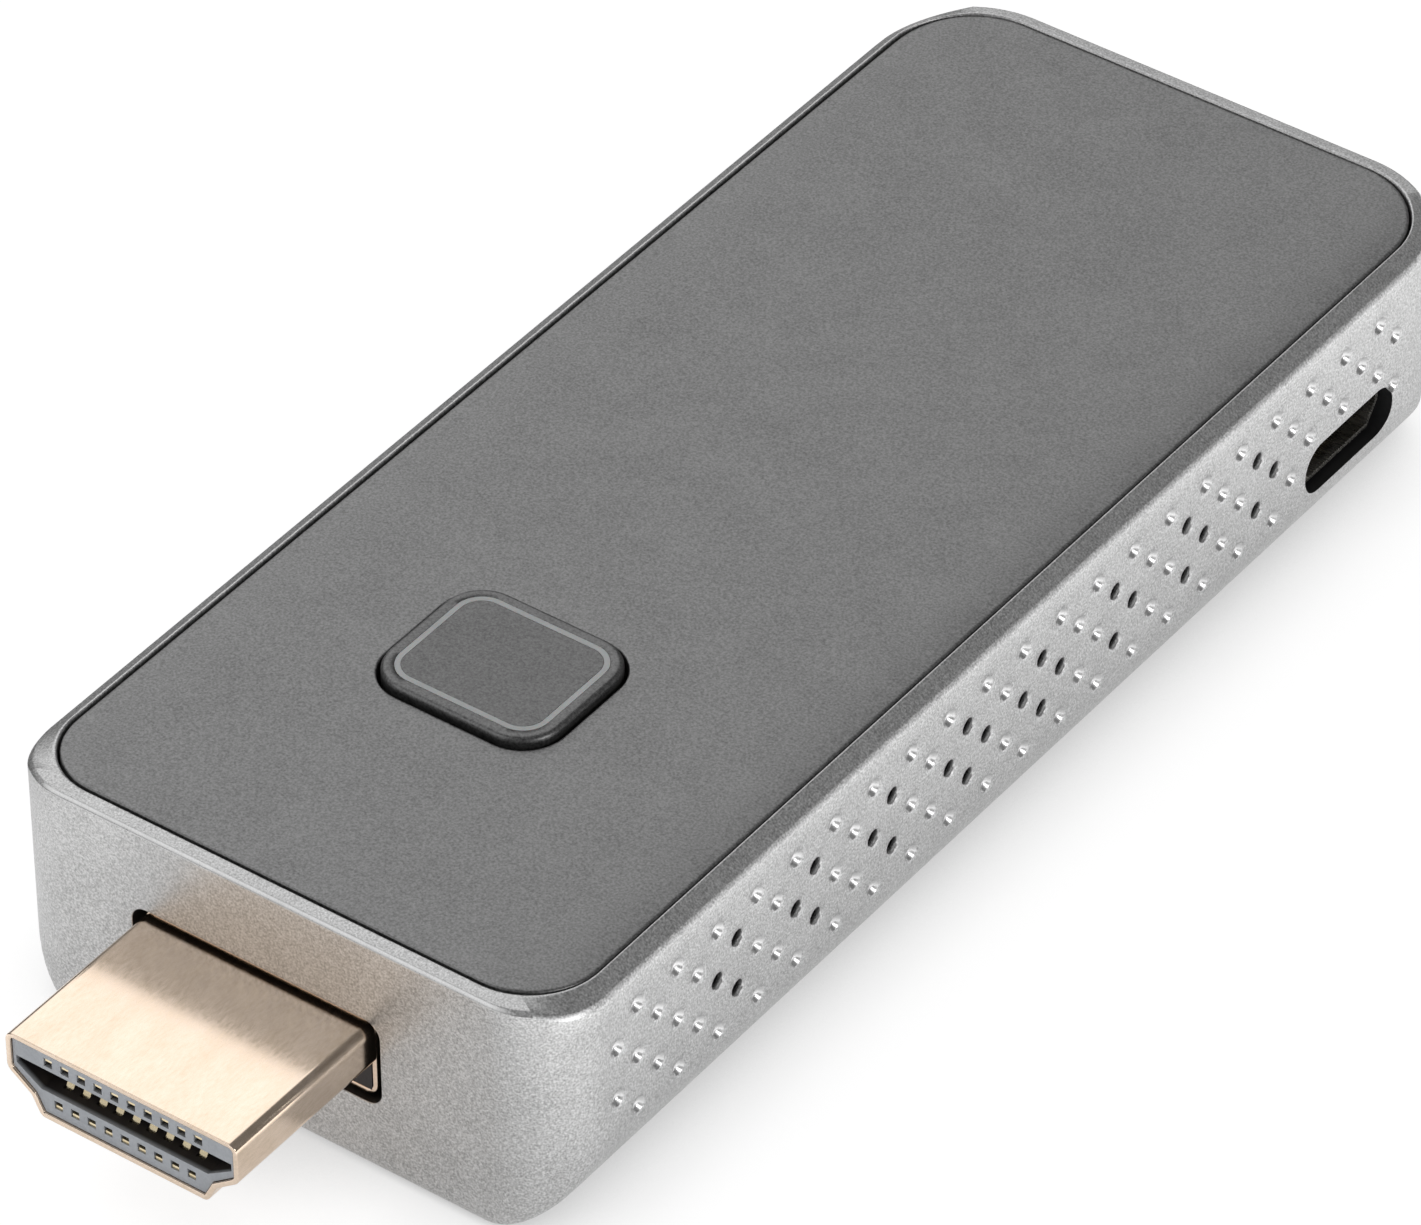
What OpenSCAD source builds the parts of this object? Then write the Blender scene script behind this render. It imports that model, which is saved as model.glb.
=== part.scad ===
// Stick-shaped wireless video transmitter: a silver housing with a dark inlaid
// cover, a push button with a light ring, a video plug at the front end and a
// power socket in the right wall. Plug towards -Y, cover up, all lengths in mm.
// The origin is at the middle of the footprint, on the surface it lies on.

/* [Housing] */
// Width of the housing
body_w = 33.4; // [32:0.1:38]
// Length of the housing without the plug
body_l = 78.6; // [78:0.2:90]
// Height of the housing
body_h = 14.6; // [14.2:0.1:17]
// Wall thickness
wall = 1.6; // [1.45:0.05:1.7]
// Corner radius at the plug end
front_r = 3.9; // [3:0.1:5]
// Corner radius at the far end
back_r = 6; // [4:0.1:7]
// Radius of the lower long edges
belly_r = 5.6; // [4.5:0.1:6]
// Radius of the lower end edges
end_r = 1; // [0.5:0.1:1.4]
// Width of the sloping rim along the sides
rim_side_w = 1.04; // [0.8:0.02:1.1]
// Drop of the sloping rim along the sides
rim_side_drop = 0.77; // [0.4:0.01:1]
// Width of the rim at the ends
rim_end_w = 0.93; // [0.7:0.01:1]
// Drop of the rim at the ends
rim_end_drop = 0.11; // [0.05:0.01:0.4]

/* [Cover] */
// Thickness of the cover
cover_t = 1.2; // [0.9:0.05:1.5]
// Gap between the cover and the rim
cover_gap = 0.13; // [0.08:0.01:0.2]
// How far the cover lies below the rim
cover_recess = 0.05; // [0:0.01:0.15]
// Thickness of the adhesive frame
tape_t = 0.15; // [0.1:0.01:0.25]
// Wall of the collar round the button
collar_wall = 0.9; // [0.6:0.05:1.2]
// Height of the collar below the cover
collar_h = 1.1; // [0.8:0.05:1.5]

/* [Button] */
// Place of the button across the housing
button_x = -1.05; // [-2:0.05:1.5]
// Distance of the button from the plug end
button_y = 19.5; // [17:0.1:22]
// Width of the button cap
cap_w = 10.3; // [9:0.1:11]
// Length of the button cap
cap_l = 8.8; // [8:0.1:10]
// Corner radius of the cap
cap_r = 2.2; // [1.5:0.1:3]
// How far the cap stands above the rim
cap_proud = 0.46; // [0.3:0.02:0.8]
// Gap round the cap
cap_gap = 0.2; // [0.15:0.01:0.3]
// Travel of the button
button_travel = 0.25; // [0.15:0.01:0.35]
// Distance of the light ring from the edge of the cap
ring_inset = 0.68; // [0.5:0.02:1]
// Width of the light ring
ring_w = 0.3; // [0.2:0.02:0.5]
// Depth of the light ring
ring_depth = 0.6; // [0.3:0.05:0.8]

/* [Side vents] */
// Spacing of the dimples along and down the wall
vent_pitch = 1.585; // [1.5:0.005:1.65]
// Diameter of the vent holes and dimples
vent_d = 0.96; // [0.8:0.02:1.1]
// Depth of a dimple
dimple_depth = 0.31; // [0.2:0.01:0.4]
// Distance of the first dimple from the plug end
vent_start = 6.42; // [6:0.02:8]
// Distance of the top row below the top of the housing
vent_drop = 2.71; // [2.4:0.01:3]

/* [Video plug] */
// Width of the plug shell
plug_w = 13.9; // [13.8:0.05:14]
// Height of the plug shell
plug_h = 4.45; // [4.4:0.01:4.5]
// How far the plug stands out of the housing
plug_out = 10.1; // [9.5:0.1:12]
// Place of the plug across the housing
plug_x = -1.1; // [-2:0.05:2]
// How far the plug's middle lies below the middle of the housing
plug_drop = 0.22; // [0.1:0.01:0.4]
// Thickness of the shell sheet
sheet_t = 0.3; // [0.25:0.01:0.35]
// Spacing of the contacts in a row
contact_pitch = 1; // [0.95:0.01:1.05]

/* [Power socket] */
// Distance of the power socket's middle from the far end
socket_back = 11.3; // [11:0.1:11.8]
// Width of the socket shell
socket_w = 7.5; // [7.4:0.05:7.6]
// Height of the socket shell
socket_h = 2.45; // [2.4:0.05:2.6]
// Gap between the shell and its slot
socket_gap = 0.31; // [0.2:0.01:0.4]

/* [Board] */
// Thickness of the circuit board
board_t = 1; // [1:0.05:1.2]
// Gap between the board and the walls
board_gap = 0.6; // [0.4:0.05:0.8]
// Diameter of the screw heads
screw_head_d = 2.8; // [2.4:0.1:3]
// Diameter of the screw shanks
screw_d = 1.24; // [1.1:0.02:1.3]

/* [Hidden] */
$fn = 48;

// One overrun for every cut, and the least clearance between pieces that touch
over = 0.5;
play = 0.03;

// Places along the housing
overall_l = body_l + plug_out;
front_y = plug_out - overall_l / 2;
back_y = front_y + body_l;
mid_y = (front_y + back_y) / 2;
plug_tip_y = front_y - plug_out;
socket_y = back_y - socket_back;

// The plug's sleeve starts just inside the wall, and the board behind the sleeve
sleeve_start = 0.35;
sleeve_l = 8;
sleeve_end_y = front_y + sleeve_start + sleeve_l;
sleeve_gap = 1;
inner_w = body_w - 2 * wall;
board_w = inner_w - 2 * board_gap;
board_front_y = sleeve_end_y + sleeve_gap;
board_back_y = back_y - wall - board_gap;
board_l = board_back_y - board_front_y;

// Heights of the stack
cover_top_z = body_h - cover_recess;
cover_under_z = cover_top_z - cover_t;
ledge_z = cover_under_z - tape_t;
plug_z = body_h / 2 - plug_drop;
board_rise = 0.48;
board_top_z = plug_z - board_rise;
board_under_z = board_top_z - board_t;
board_mid_z = board_top_z - board_t / 2;

// Shapes that many pieces share

// Rounded outline with its own radius at the front and at the back
module plan_outline(w, y0, y1, r0, r1) {
    translate([-w / 2, y0 + r0]) square([w, y1 - r1 - y0 - r0]);
    translate([-w / 2 + r0, y0]) square([w - 2 * r0, y1 - r1 - y0]);
    translate([-w / 2 + r1, y0 + r0]) square([w - 2 * r1, y1 - y0 - r0]);
    for (side = [-1, 1]) {
        translate([side * (w / 2 - r0), y0 + r0]) circle(r0);
        translate([side * (w / 2 - r1), y1 - r1]) circle(r1);
    }
}

// Rounded rectangle about its middle
module rounded_rect(w, l, r) {
    square([w - 2 * r, l], center = true);
    square([w, l - 2 * r], center = true);
    for (sx = [-1, 1], sy = [-1, 1])
        translate([sx * (w / 2 - r), sy * (l / 2 - r)]) circle(r);
}

// Block with rounded upright edges, standing on z = 0
module chip(w, l, h, r) {
    linear_extrude(h) rounded_rect(w, l, r);
}

// Cross-section with round lower corners and sloping upper ones
module bowl_section(w, z0, z1, r, slope_w, slope_drop) {
    polygon([[-w / 2, z0 + r], [-w / 2, z1 - slope_drop], [-w / 2 + slope_w, z1],
        [w / 2 - slope_w, z1], [w / 2, z1 - slope_drop], [w / 2, z0 + r]]);
    translate([-w / 2 + r, z0]) square([w - 2 * r, r]);
    for (side = [-1, 1]) translate([side * (w / 2 - r), z0 + r]) circle(r);
}

// Lays a cross-section along Y, or along X
module along_y(y0, y1) {
    translate([0, y1, 0]) rotate([90, 0, 0]) linear_extrude(y1 - y0) children();
}
module along_x(x0, x1) {
    translate([x0, 0, 0]) rotate([90, 0, 90]) linear_extrude(x1 - x0) children();
}

// Outline moved inwards by t, for a convex or bent outline given anticlockwise
function unit(v) = v / norm(v);
function edge_normal(a, b) = [-unit(b - a)[1], unit(b - a)[0]];
function inset_outline(pts, t) = [for (i = [0 : len(pts) - 1])
    let (n = len(pts), p = pts[i], n1 = edge_normal(pts[(i + n - 1) % n], p),
        n2 = edge_normal(p, pts[(i + 1) % n]))
    p + t * (n1 + n2) / (1 + n1 * n2)];

// Sheet strip of thickness t along a centre line
function strip_side(path, t) = [for (i = [0 : len(path) - 1])
    let (p = path[i], n1 = edge_normal(path[max(i - 1, 0)], path[max(i, 1)]),
        n2 = edge_normal(path[min(i, len(path) - 2)], path[min(i + 1, len(path) - 1)]))
    p + t / 2 * (n1 + n2) / (1 + n1 * n2)];
function strip_outline(path, t) = let (left = strip_side(path, t), right = strip_side(path, -t))
    concat(left, [for (i = [len(right) - 1 : -1 : 0]) right[i]]);

// Housing

// Vent field: rows run down the wall, and each diagonal starts two pitches further on.
// The lists give the top row of the first diagonals and the lowest row of the last ones.
vent_rows = 5;
tail_diagonals = 3;
full_diagonals = floor((body_l - socket_back - vent_start) / (2 * vent_pitch)) - tail_diagonals;
first_rows = [3, 1];
last_rows_right = [3, 2, 2, 3, 1];
last_rows_left = [4, 4, 4, 3, 1];
middle_holes_switch = 8;
function is_hole(k, i) = k > 0 && k <= full_diagonals
    && (k % 2 == 1 ? i == 3 || (i == 2 && k <= middle_holes_switch + 1)
    : i == 1 || (i == 2 && k >= middle_holes_switch));
function last_row(k, tail) = k < full_diagonals ? vent_rows - 1 : tail[k - full_diagonals];
function first_row(k) = k < 0 ? first_rows[k + len(first_rows)] : 0;
function vent_y(k, i) = front_y + vent_start + (2 * k + i) * vent_pitch;
function vent_z(i) = body_h - vent_drop - i * vent_pitch;
dimple_r = (pow(vent_d / 2, 2) + pow(dimple_depth, 2)) / (2 * dimple_depth);

module vent_field(side, tail) {
    for (k = [-len(first_rows) : full_diagonals + len(tail) - 1], i = [first_row(k) : last_row(k, tail)])
        translate([side * body_w / 2, vent_y(k, i), vent_z(i)])
            if (is_hole(k, i)) rotate([0, 90, 0]) cylinder(h = 3 * wall, d = vent_d, center = true);
            else translate([side * (dimple_r - dimple_depth), 0, 0]) sphere(dimple_r);
}

// Screw bosses
boss_d = 3.8;
boss_x_share = 0.38;
boss_front_share = 0.04;
boss_back_share = 0.964;
pilot_d = screw_d + 2 * play;
pilot_depth = 3;
boss_root = 0.2;
boss_places = [for (side = [-1, 1], along = [boss_front_share, boss_back_share])
    [side * boss_x_share * board_w, board_front_y + along * board_l]];

// Plug hole, with its gap to the shell and its rounding
plug_hole_gap_w = 0.5;
plug_hole_gap_h = 0.38;
plug_hole_r = 0.9;

// Socket slot
socket_slot_h = socket_h + 2 * socket_gap;
socket_slot_w = socket_w + 2 * socket_gap;
socket_z = board_mid_z;

// Label and its recess in the underside
label_margin = 1.6;
label_w = body_w - 2 * (belly_r + label_margin);
label_l_share = 0.56;
label_l = label_l_share * body_l;
label_t = 0.1;
label_recess = 0.13;
label_r = 1;
label_gap = 0.2;

module housing_solid() {
    intersection() {
        linear_extrude(body_h) plan_outline(body_w, front_y, back_y, front_r, back_r);
        along_y(front_y - over, back_y + over)
            bowl_section(body_w, 0, body_h, belly_r, rim_side_w, rim_side_drop);
        along_x(-body_w / 2 - over, body_w / 2 + over)
            translate([mid_y, 0]) bowl_section(body_l, 0, body_h, end_r, rim_end_w, rim_end_drop);
    }
}

module housing_cavity() {
    intersection() {
        translate([0, 0, wall]) linear_extrude(body_h)
            plan_outline(inner_w, front_y + wall, back_y - wall, front_r - wall, back_r - wall);
        along_y(front_y, back_y)
            bowl_section(inner_w, wall, body_h + over, belly_r - wall, over, over);
    }
}

module cover_outline(gap) {
    plan_outline(body_w - 2 * (rim_side_w + gap), front_y + rim_end_w + gap, back_y - rim_end_w - gap,
        front_r - rim_side_w - gap, back_r - rim_side_w - gap);
}

module housing() {
    color("silver")
    difference() {
        union() {
            difference() {
                housing_solid();
                housing_cavity();
            }
            for (p = boss_places) translate([p[0], p[1], wall - boss_root])
                cylinder(h = board_under_z - wall + boss_root, d = boss_d);
        }
        translate([0, 0, ledge_z]) linear_extrude(body_h) cover_outline(0);
        for (p = boss_places) translate([p[0], p[1], board_under_z - pilot_depth])
            cylinder(h = pilot_depth + over, d = pilot_d);
        along_y(front_y - over, front_y + wall + over) translate([plug_x, plug_z])
            rounded_rect(plug_w + 2 * plug_hole_gap_w, plug_h + 2 * plug_hole_gap_h, plug_hole_r);
        along_x(inner_w / 2 - over, body_w / 2 + over) translate([socket_y, socket_z])
            rounded_rect(socket_slot_w, socket_slot_h, socket_slot_h / 2 - play);
        vent_field(1, last_rows_right);
        vent_field(-1, last_rows_left);
        translate([0, mid_y, -over]) linear_extrude(label_recess + over)
            rounded_rect(label_w + 2 * label_gap, label_l + 2 * label_gap, label_r + label_gap);
    }
}

module rating_label() {
    color("gainsboro")
    translate([0, mid_y, label_recess - label_t]) chip(label_w, label_l, label_t, label_r);
}

// Cover and its adhesive frame
opening_w = cap_w + 2 * cap_gap;
opening_l = cap_l + 2 * cap_gap;
opening_r = cap_r + cap_gap;
collar_under_z = cover_under_z - collar_h;

module at_button(z) {
    translate([button_x, front_y + button_y, z]) children();
}

module top_cover() {
    color("dimgray")
    difference() {
        union() {
            translate([0, 0, cover_under_z]) linear_extrude(cover_t) cover_outline(cover_gap);
            at_button(collar_under_z) linear_extrude(collar_h + cover_t / 2)
                rounded_rect(opening_w + 2 * collar_wall, opening_l + 2 * collar_wall,
                    opening_r + collar_wall);
        }
        at_button(collar_under_z - over) linear_extrude(body_h)
            rounded_rect(opening_w, opening_l, opening_r);
    }
}

module cover_adhesive() {
    color("black")
    difference() {
        translate([0, 0, ledge_z]) linear_extrude(tape_t) cover_outline(cover_gap);
        translate([0, 0, ledge_z - over]) linear_extrude(body_h)
            plan_outline(inner_w, front_y + wall, back_y - wall, front_r - wall, back_r - wall);
    }
}

// Button
cap_top_z = body_h + cap_proud;
flange_lip = 0.75;
flange_t = 0.7;
flange_top_z = collar_under_z - play;
flange_under_z = flange_top_z - flange_t;
stem_d = 3;
stem_l = 0.62;

module ring_outline(inset) {
    rounded_rect(cap_w - 2 * inset, cap_l - 2 * inset, cap_r - inset);
}

module button_light_ring() {
    color("lightgray")
    at_button(cap_top_z - ring_depth) linear_extrude(ring_depth) difference() {
        ring_outline(ring_inset);
        ring_outline(ring_inset + ring_w);
    }
}

module button_cap() {
    color("gray")
    union() {
        difference() {
            at_button(flange_under_z) linear_extrude(cap_top_z - flange_under_z) ring_outline(0);
            at_button(cap_top_z - ring_depth) linear_extrude(ring_depth + over) difference() {
                ring_outline(ring_inset);
                ring_outline(ring_inset + ring_w);
            }
        }
        at_button(flange_under_z) linear_extrude(flange_t) ring_outline(-flange_lip);
        at_button(plunger_top_z + play) cylinder(h = stem_l, d = stem_d);
    }
}

// Tactile switch under the button
switch_w = 6;
switch_wall = 0.7;
switch_roof = 0.6;
switch_floor = 0.4;
plunger_d = 3.5;
plunger_play = 0.08;
plunger_rise = 0.8;
plunger_flange_d = 4.3;
plunger_flange_t = 0.6;
plunger_top_z = flange_under_z - stem_l;
switch_h = plunger_top_z - plunger_rise - board_top_z;
plunger_under_z = board_top_z + switch_h - switch_roof - play - plunger_flange_t;
terminal_w = 0.7;
terminal_t = 0.2;
terminal_foot_l = 1;
terminal_h = 1;

module button_switch_body() {
    color([0.12, 0.12, 0.13])
    difference() {
        at_button(board_top_z) chip(switch_w, switch_w, switch_h, switch_wall / 2);
        at_button(board_top_z + switch_floor) cylinder(h = switch_h, d = plunger_d + 2 * plunger_play);
        at_button(board_top_z + switch_floor)
            cylinder(h = switch_h - switch_floor - switch_roof, d = switch_w - 2 * switch_wall);
    }
}

module button_switch_plunger() {
    color("ivory")
    union() {
        at_button(plunger_under_z) cylinder(h = plunger_flange_t, d = plunger_flange_d);
        at_button(plunger_under_z) cylinder(h = plunger_top_z - plunger_under_z, d = plunger_d);
    }
}

module button_switch_terminals() {
    color("lightsteelblue")
    for (sx = [-1, 1], sy = [-1, 1]) at_button(board_top_z)
        translate([sx * switch_w / 2, sy * switch_w / 3 - terminal_w / 2, 0]) mirror([sx < 0 ? 1 : 0, 0, 0])
            union() {
                cube([terminal_foot_l, terminal_w, terminal_t]);
                cube([terminal_t, terminal_w, terminal_h]);
            }
}

// Lamps that light the ring
led_w = 1.6;
led_l = 0.9;
led_h = 0.6;
led_lens_d = 0.7;
led_offset = 4.9;

module status_leds() {
    color("ivory")
    for (side = [-1, 1]) at_button(board_top_z) translate([side * led_offset, switch_w / 2, 0])
        union() {
            chip(led_w, led_l, led_h, led_l / 6);
            translate([0, 0, led_h]) sphere(led_lens_d / 2);
        }
}

// Video plug

// Half outline of the plug, as distances from its middle line and down from its top
plug_side_drop = 2.3;
plug_shoulder_x = 5.55;
plug_shoulder_drop = 3.35;
plug_foot_x = 5;
plug_top_z = plug_z + plug_h / 2;
plug_half = [[plug_foot_x, plug_h], [plug_shoulder_x, plug_shoulder_drop],
    [plug_w / 2, plug_side_drop], [plug_w / 2, 0]];
plug_outline = concat([for (p = plug_half) [p[0], -p[1]]],
    [for (i = [len(plug_half) - 1 : -1 : 0]) [-plug_half[i][0], -plug_half[i][1]]]);

sleeve_h = 4.85;
sleeve_tab_l = 3;
sleeve_tab_h = 1.3;
insert_recess = 0.15;

// Mouth and contact channels of the insert, as drops from the plug's top
mouth_top = 1.42;
mouth_knee = 1.85;
mouth_floor = 2.8;
mouth_half_w = 6.45;
mouth_floor_half_w = 5;
mouth_depth = 8.6;
upper_drop = 0.95;
lower_drop = 3.39;
channel_w = 0.5;
channel_h = 0.5;
channel_lip = 0.8;
contact_w = 0.4;
contact_t = 0.2;
contact_bow_h = 1;
contact_tip = 0.5;
bow_start = 1.3;
bow_top = 2.6;
bow_end = 4.4;
upper_count = 10;
lower_count = 9;
foot_l = 1.2;
upper_tail = 0.9;
lower_tail = -0.3;
upper_run = upper_drop - (channel_h - contact_t) / 2;
lower_run = lower_drop + (channel_h - contact_t) / 2;

module at_plug() {
    translate([plug_x, 0, plug_top_z]) children();
}

module plug_front_shell() {
    color("goldenrod")
    at_plug() along_y(plug_tip_y, front_y + sleeve_start) difference() {
        polygon(plug_outline);
        polygon(inset_outline(plug_outline, sheet_t));
    }
}

module plug_rear_shell() {
    color("goldenrod")
    translate([plug_x, 0, plug_z]) union() {
        along_y(front_y + sleeve_start, sleeve_end_y) difference() {
            square([plug_w, sleeve_h], center = true);
            square([plug_w - 2 * sheet_t, sleeve_h - 2 * sheet_t], center = true);
        }
        for (side = [-1, 1]) translate([side * (plug_w - sheet_t) / 2, 0, 0])
            along_y(sleeve_end_y - over, sleeve_end_y + sleeve_tab_l)
                translate([-sheet_t / 2, -board_rise]) square([sheet_t, sleeve_tab_h]);
    }
}

module contact_channels(count, row, toward) {
    for (n = [0 : count - 1]) translate([(n - (count - 1) / 2) * contact_pitch, 0, 0]) {
        along_y(plug_tip_y - over, sleeve_end_y + over)
            translate([-channel_w / 2, -row - channel_h / 2]) square([channel_w, channel_h]);
        along_y(plug_tip_y + channel_lip, plug_tip_y + mouth_depth)
            translate([-channel_w / 2, toward < 0 ? -mouth_top - play : -row])
                square([channel_w, toward < 0 ? mouth_top - row + play : row - mouth_floor + play]);
    }
}

module plug_insert() {
    color("slategray")
    at_plug() difference() {
        union() {
            along_y(plug_tip_y + insert_recess, front_y + sleeve_start)
                polygon(inset_outline(plug_outline, sheet_t + play));
            translate([0, 0, -plug_h / 2]) along_y(front_y + sleeve_start, sleeve_end_y)
                square([plug_w - 2 * (sheet_t + play), sleeve_h - 2 * (sheet_t + play)], center = true);
        }
        along_y(plug_tip_y - over, plug_tip_y + mouth_depth)
            polygon([[-mouth_half_w, -mouth_top], [-mouth_half_w, -mouth_knee],
                [-mouth_floor_half_w, -mouth_floor], [mouth_floor_half_w, -mouth_floor],
                [mouth_half_w, -mouth_knee], [mouth_half_w, -mouth_top]]);
        contact_channels(upper_count, upper_drop, -1);
        contact_channels(lower_count, lower_drop, 1);
    }
}

// A contact is a bent strip: tip, bow into the mouth, straight run, tail and foot on the board
module contact_row(count, drop, bow, foot_z, tail) {
    run_z = plug_top_z - drop;
    tail_y = board_front_y + tail;
    path = [[plug_tip_y + contact_tip, run_z], [plug_tip_y + bow_start, run_z],
        [plug_tip_y + bow_top, run_z + bow], [plug_tip_y + bow_end, run_z],
        [tail_y, run_z], [tail_y, foot_z], [tail_y + foot_l, foot_z]];
    for (n = [0 : count - 1]) translate([plug_x + (n - (count - 1) / 2) * contact_pitch, 0, 0])
        along_x(-contact_w / 2, contact_w / 2) polygon(strip_outline(path, contact_t));
}

module plug_upper_contacts() {
    color("gold")
    contact_row(upper_count, upper_run, -contact_bow_h, board_top_z + contact_t / 2, upper_tail);
}

module plug_lower_contacts() {
    color("gold")
    contact_row(lower_count, lower_run, contact_bow_h, board_under_z - contact_t / 2, lower_tail);
}

// Power socket

socket_recess = 0.7;
socket_depth = 5.3;
socket_sheet = 0.25;
socket_bevel_w = 0.95;
socket_bevel_drop = 1.25;
socket_mouth_x = body_w / 2 - socket_recess;
socket_back_x = socket_mouth_x - socket_depth;
socket_outline = [[-socket_w / 2 + socket_bevel_w, -socket_h / 2],
    [socket_w / 2 - socket_bevel_w, -socket_h / 2],
    [socket_w / 2, -socket_h / 2 + socket_bevel_drop], [socket_w / 2, socket_h / 2],
    [-socket_w / 2, socket_h / 2], [-socket_w / 2, -socket_h / 2 + socket_bevel_drop]];
socket_corner_r = 0.6;
socket_block_l = 1.4;
socket_tongue_w = 3.9;
socket_tongue_t = 0.65;
socket_tongue_drop = 0.3;
socket_tongue_l = 3;
socket_pitch = 0.65;
socket_contact_w = 0.4;
socket_contact_t = 0.12;
socket_contact_l = 4;
socket_contact_count = 5;
socket_foot_l = 0.9;
socket_ear_l = 1.6;
socket_ear_w = 1;
socket_tongue_under_z = socket_h / 2 - socket_sheet - socket_tongue_drop - socket_tongue_t;

module at_socket() {
    translate([0, socket_y, socket_z]) children();
}

// Section of the socket's shell, moved inwards by t
module socket_section(t) {
    intersection() {
        polygon(inset_outline(socket_outline, t));
        translate([0, -socket_h / 2])
            rounded_rect(socket_w - 2 * t, 2 * (socket_h - t), socket_corner_r - t);
    }
}

module power_socket_shell() {
    color("silver")
    at_socket() difference() {
        union() {
            along_x(socket_back_x, socket_mouth_x) socket_section(0);
            for (turn = [0, 1]) mirror([0, turn, 0])
                translate([socket_back_x, socket_w / 2 - socket_sheet, board_top_z - socket_z])
                    cube([socket_ear_l, socket_ear_w + socket_sheet, socket_sheet]);
        }
        along_x(socket_back_x - over, socket_mouth_x + over) socket_section(socket_sheet);
    }
}

module power_socket_tongue() {
    color([0.08, 0.08, 0.09])
    at_socket() difference() {
        union() {
            along_x(socket_back_x + play, socket_back_x + socket_block_l)
                socket_section(socket_sheet + play);
            translate([socket_back_x + socket_block_l / 2, -socket_tongue_w / 2, socket_tongue_under_z])
                cube([socket_tongue_l + socket_block_l / 2, socket_tongue_w, socket_tongue_t]);
        }
        socket_contact_places()
            translate([socket_back_x - over, -socket_contact_w / 2, socket_tongue_under_z - play])
                cube([socket_contact_l + over, socket_contact_w, socket_contact_t + play]);
    }
}

module socket_contact_places() {
    for (n = [0 : socket_contact_count - 1])
        translate([0, (n - (socket_contact_count - 1) / 2) * socket_pitch, 0]) children();
}

module power_socket_contacts() {
    run_z = socket_tongue_under_z + socket_contact_t / 2;
    foot_z = board_top_z - socket_z + socket_contact_t / 2;
    bend_x = socket_back_x - socket_contact_t / 2;
    path = [[socket_back_x + socket_contact_l, run_z], [bend_x, run_z],
        [bend_x, foot_z], [bend_x - socket_foot_l, foot_z]];
    color("gold")
    at_socket() socket_contact_places() along_y(-socket_contact_w / 2, socket_contact_w / 2)
        polygon(strip_outline(path, socket_contact_t));
}

// Board
board_r = 1.6;
board_back_r = back_r - wall - board_gap;
screw_clear_d = 1.8;
socket_notch_gap = 0.2;
notch_l = socket_w + 2 * socket_notch_gap;

module main_board() {
    color("darkgreen")
    difference() {
        translate([0, 0, board_under_z]) linear_extrude(board_t)
            plan_outline(board_w, board_front_y, board_back_y, board_r, board_back_r);
        for (p = boss_places) translate([p[0], p[1], board_under_z - over])
            cylinder(h = board_t + 2 * over, d = screw_clear_d);
        translate([socket_back_x - socket_notch_gap, socket_y - notch_l / 2, board_under_z - over])
            cube([body_w, notch_l, board_t + 2 * over]);
    }
}

// Screws: pan head, cross recess and shank
head_h = 0.9;
shank_l = 3.6;
recess_w = 0.35;
recess_l = 1.5;
recess_depth = 0.45;

module board_screws() {
    color("gainsboro")
    for (p = boss_places) translate([p[0], p[1], board_top_z]) difference() {
        union() {
            cylinder(h = head_h, d = screw_head_d);
            translate([0, 0, -shank_l]) cylinder(h = shank_l + head_h / 2, d = screw_d);
        }
        for (turn = [0, 90]) rotate([0, 0, turn])
            translate([-recess_l / 2, -recess_w / 2, head_h - recess_depth])
                cube([recess_l, recess_w, recess_depth + over]);
    }
}

// What is on the board: each list holds the place across and along the board and the width and
// length of a piece, as shares of the board's own width and length, the place along from its front
chip_r = 0.2;

module on_board(shares, z) {
    translate([shares[0] * board_w, board_front_y + shares[1] * board_l, board_top_z + z]) children();
}
module board_block(shares, z, h, r) {
    on_board(shares, z) chip(shares[2] * board_w, shares[3] * board_l, h, r);
}

// The processor and the memory sit under the heat spreader
processor_shares = [0, 0.442, 0.483, 0.209];
pad_shares = [0, 0.442, 0.414, 0.179];
memory_shares = [0.172, 0.658, 0.262, 0.149];
flash_shares = [-0.328, 0.257, 0.172, 0.089];
spreader_shares = [0, 0.542, 0.793, 0.49];
processor_h = 1;
pad_t = 0.4;
memory_h = 0.9;
flash_h = 1;
spreader_t = 0.8;
spreader_r = 1.5;
leg_d = 2.2;
leg_inset = 1.6;

module video_processor() {
    color([0.1, 0.1, 0.11]) board_block(processor_shares, 0, processor_h, chip_r);
}

module processor_thermal_pad() {
    color("lightblue") board_block(pad_shares, processor_h, pad_t, chip_r);
}

module heat_spreader() {
    leg_x = spreader_shares[2] * board_w / 2 - leg_inset;
    leg_y = spreader_shares[3] * board_l / 2 - leg_inset;
    color("lightgray")
    union() {
        board_block(spreader_shares, processor_h + pad_t, spreader_t, spreader_r);
        for (sx = [-1, 1], sy = [-1, 1]) on_board(spreader_shares, 0) translate([sx * leg_x, sy * leg_y, 0])
            cylinder(h = processor_h + pad_t + spreader_t / 2, d = leg_d);
    }
}

module memory_chips() {
    color([0.12, 0.12, 0.13])
    for (turn = [0, 1]) mirror([turn, 0, 0]) board_block(memory_shares, 0, memory_h, chip_r);
}

module flash_chip() {
    color([0.12, 0.12, 0.13]) board_block(flash_shares, 0, flash_h, chip_r);
}

// Radio: its own small board, chip and can, near the far end
radio_shares = [-0.11, 0.872, 0.414, 0.149];
radio_chip_shares = [-0.11, 0.872, 0.172, 0.075];
can_shares = [-0.11, 0.872, 0.359, 0.128];
radio_t = 0.8;
radio_chip_h = 0.6;
can_h = 1.4;
can_sheet = 0.2;
can_r = 0.5;

module radio_board() {
    color("darkblue") board_block(radio_shares, 0, radio_t, chip_r);
}

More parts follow.
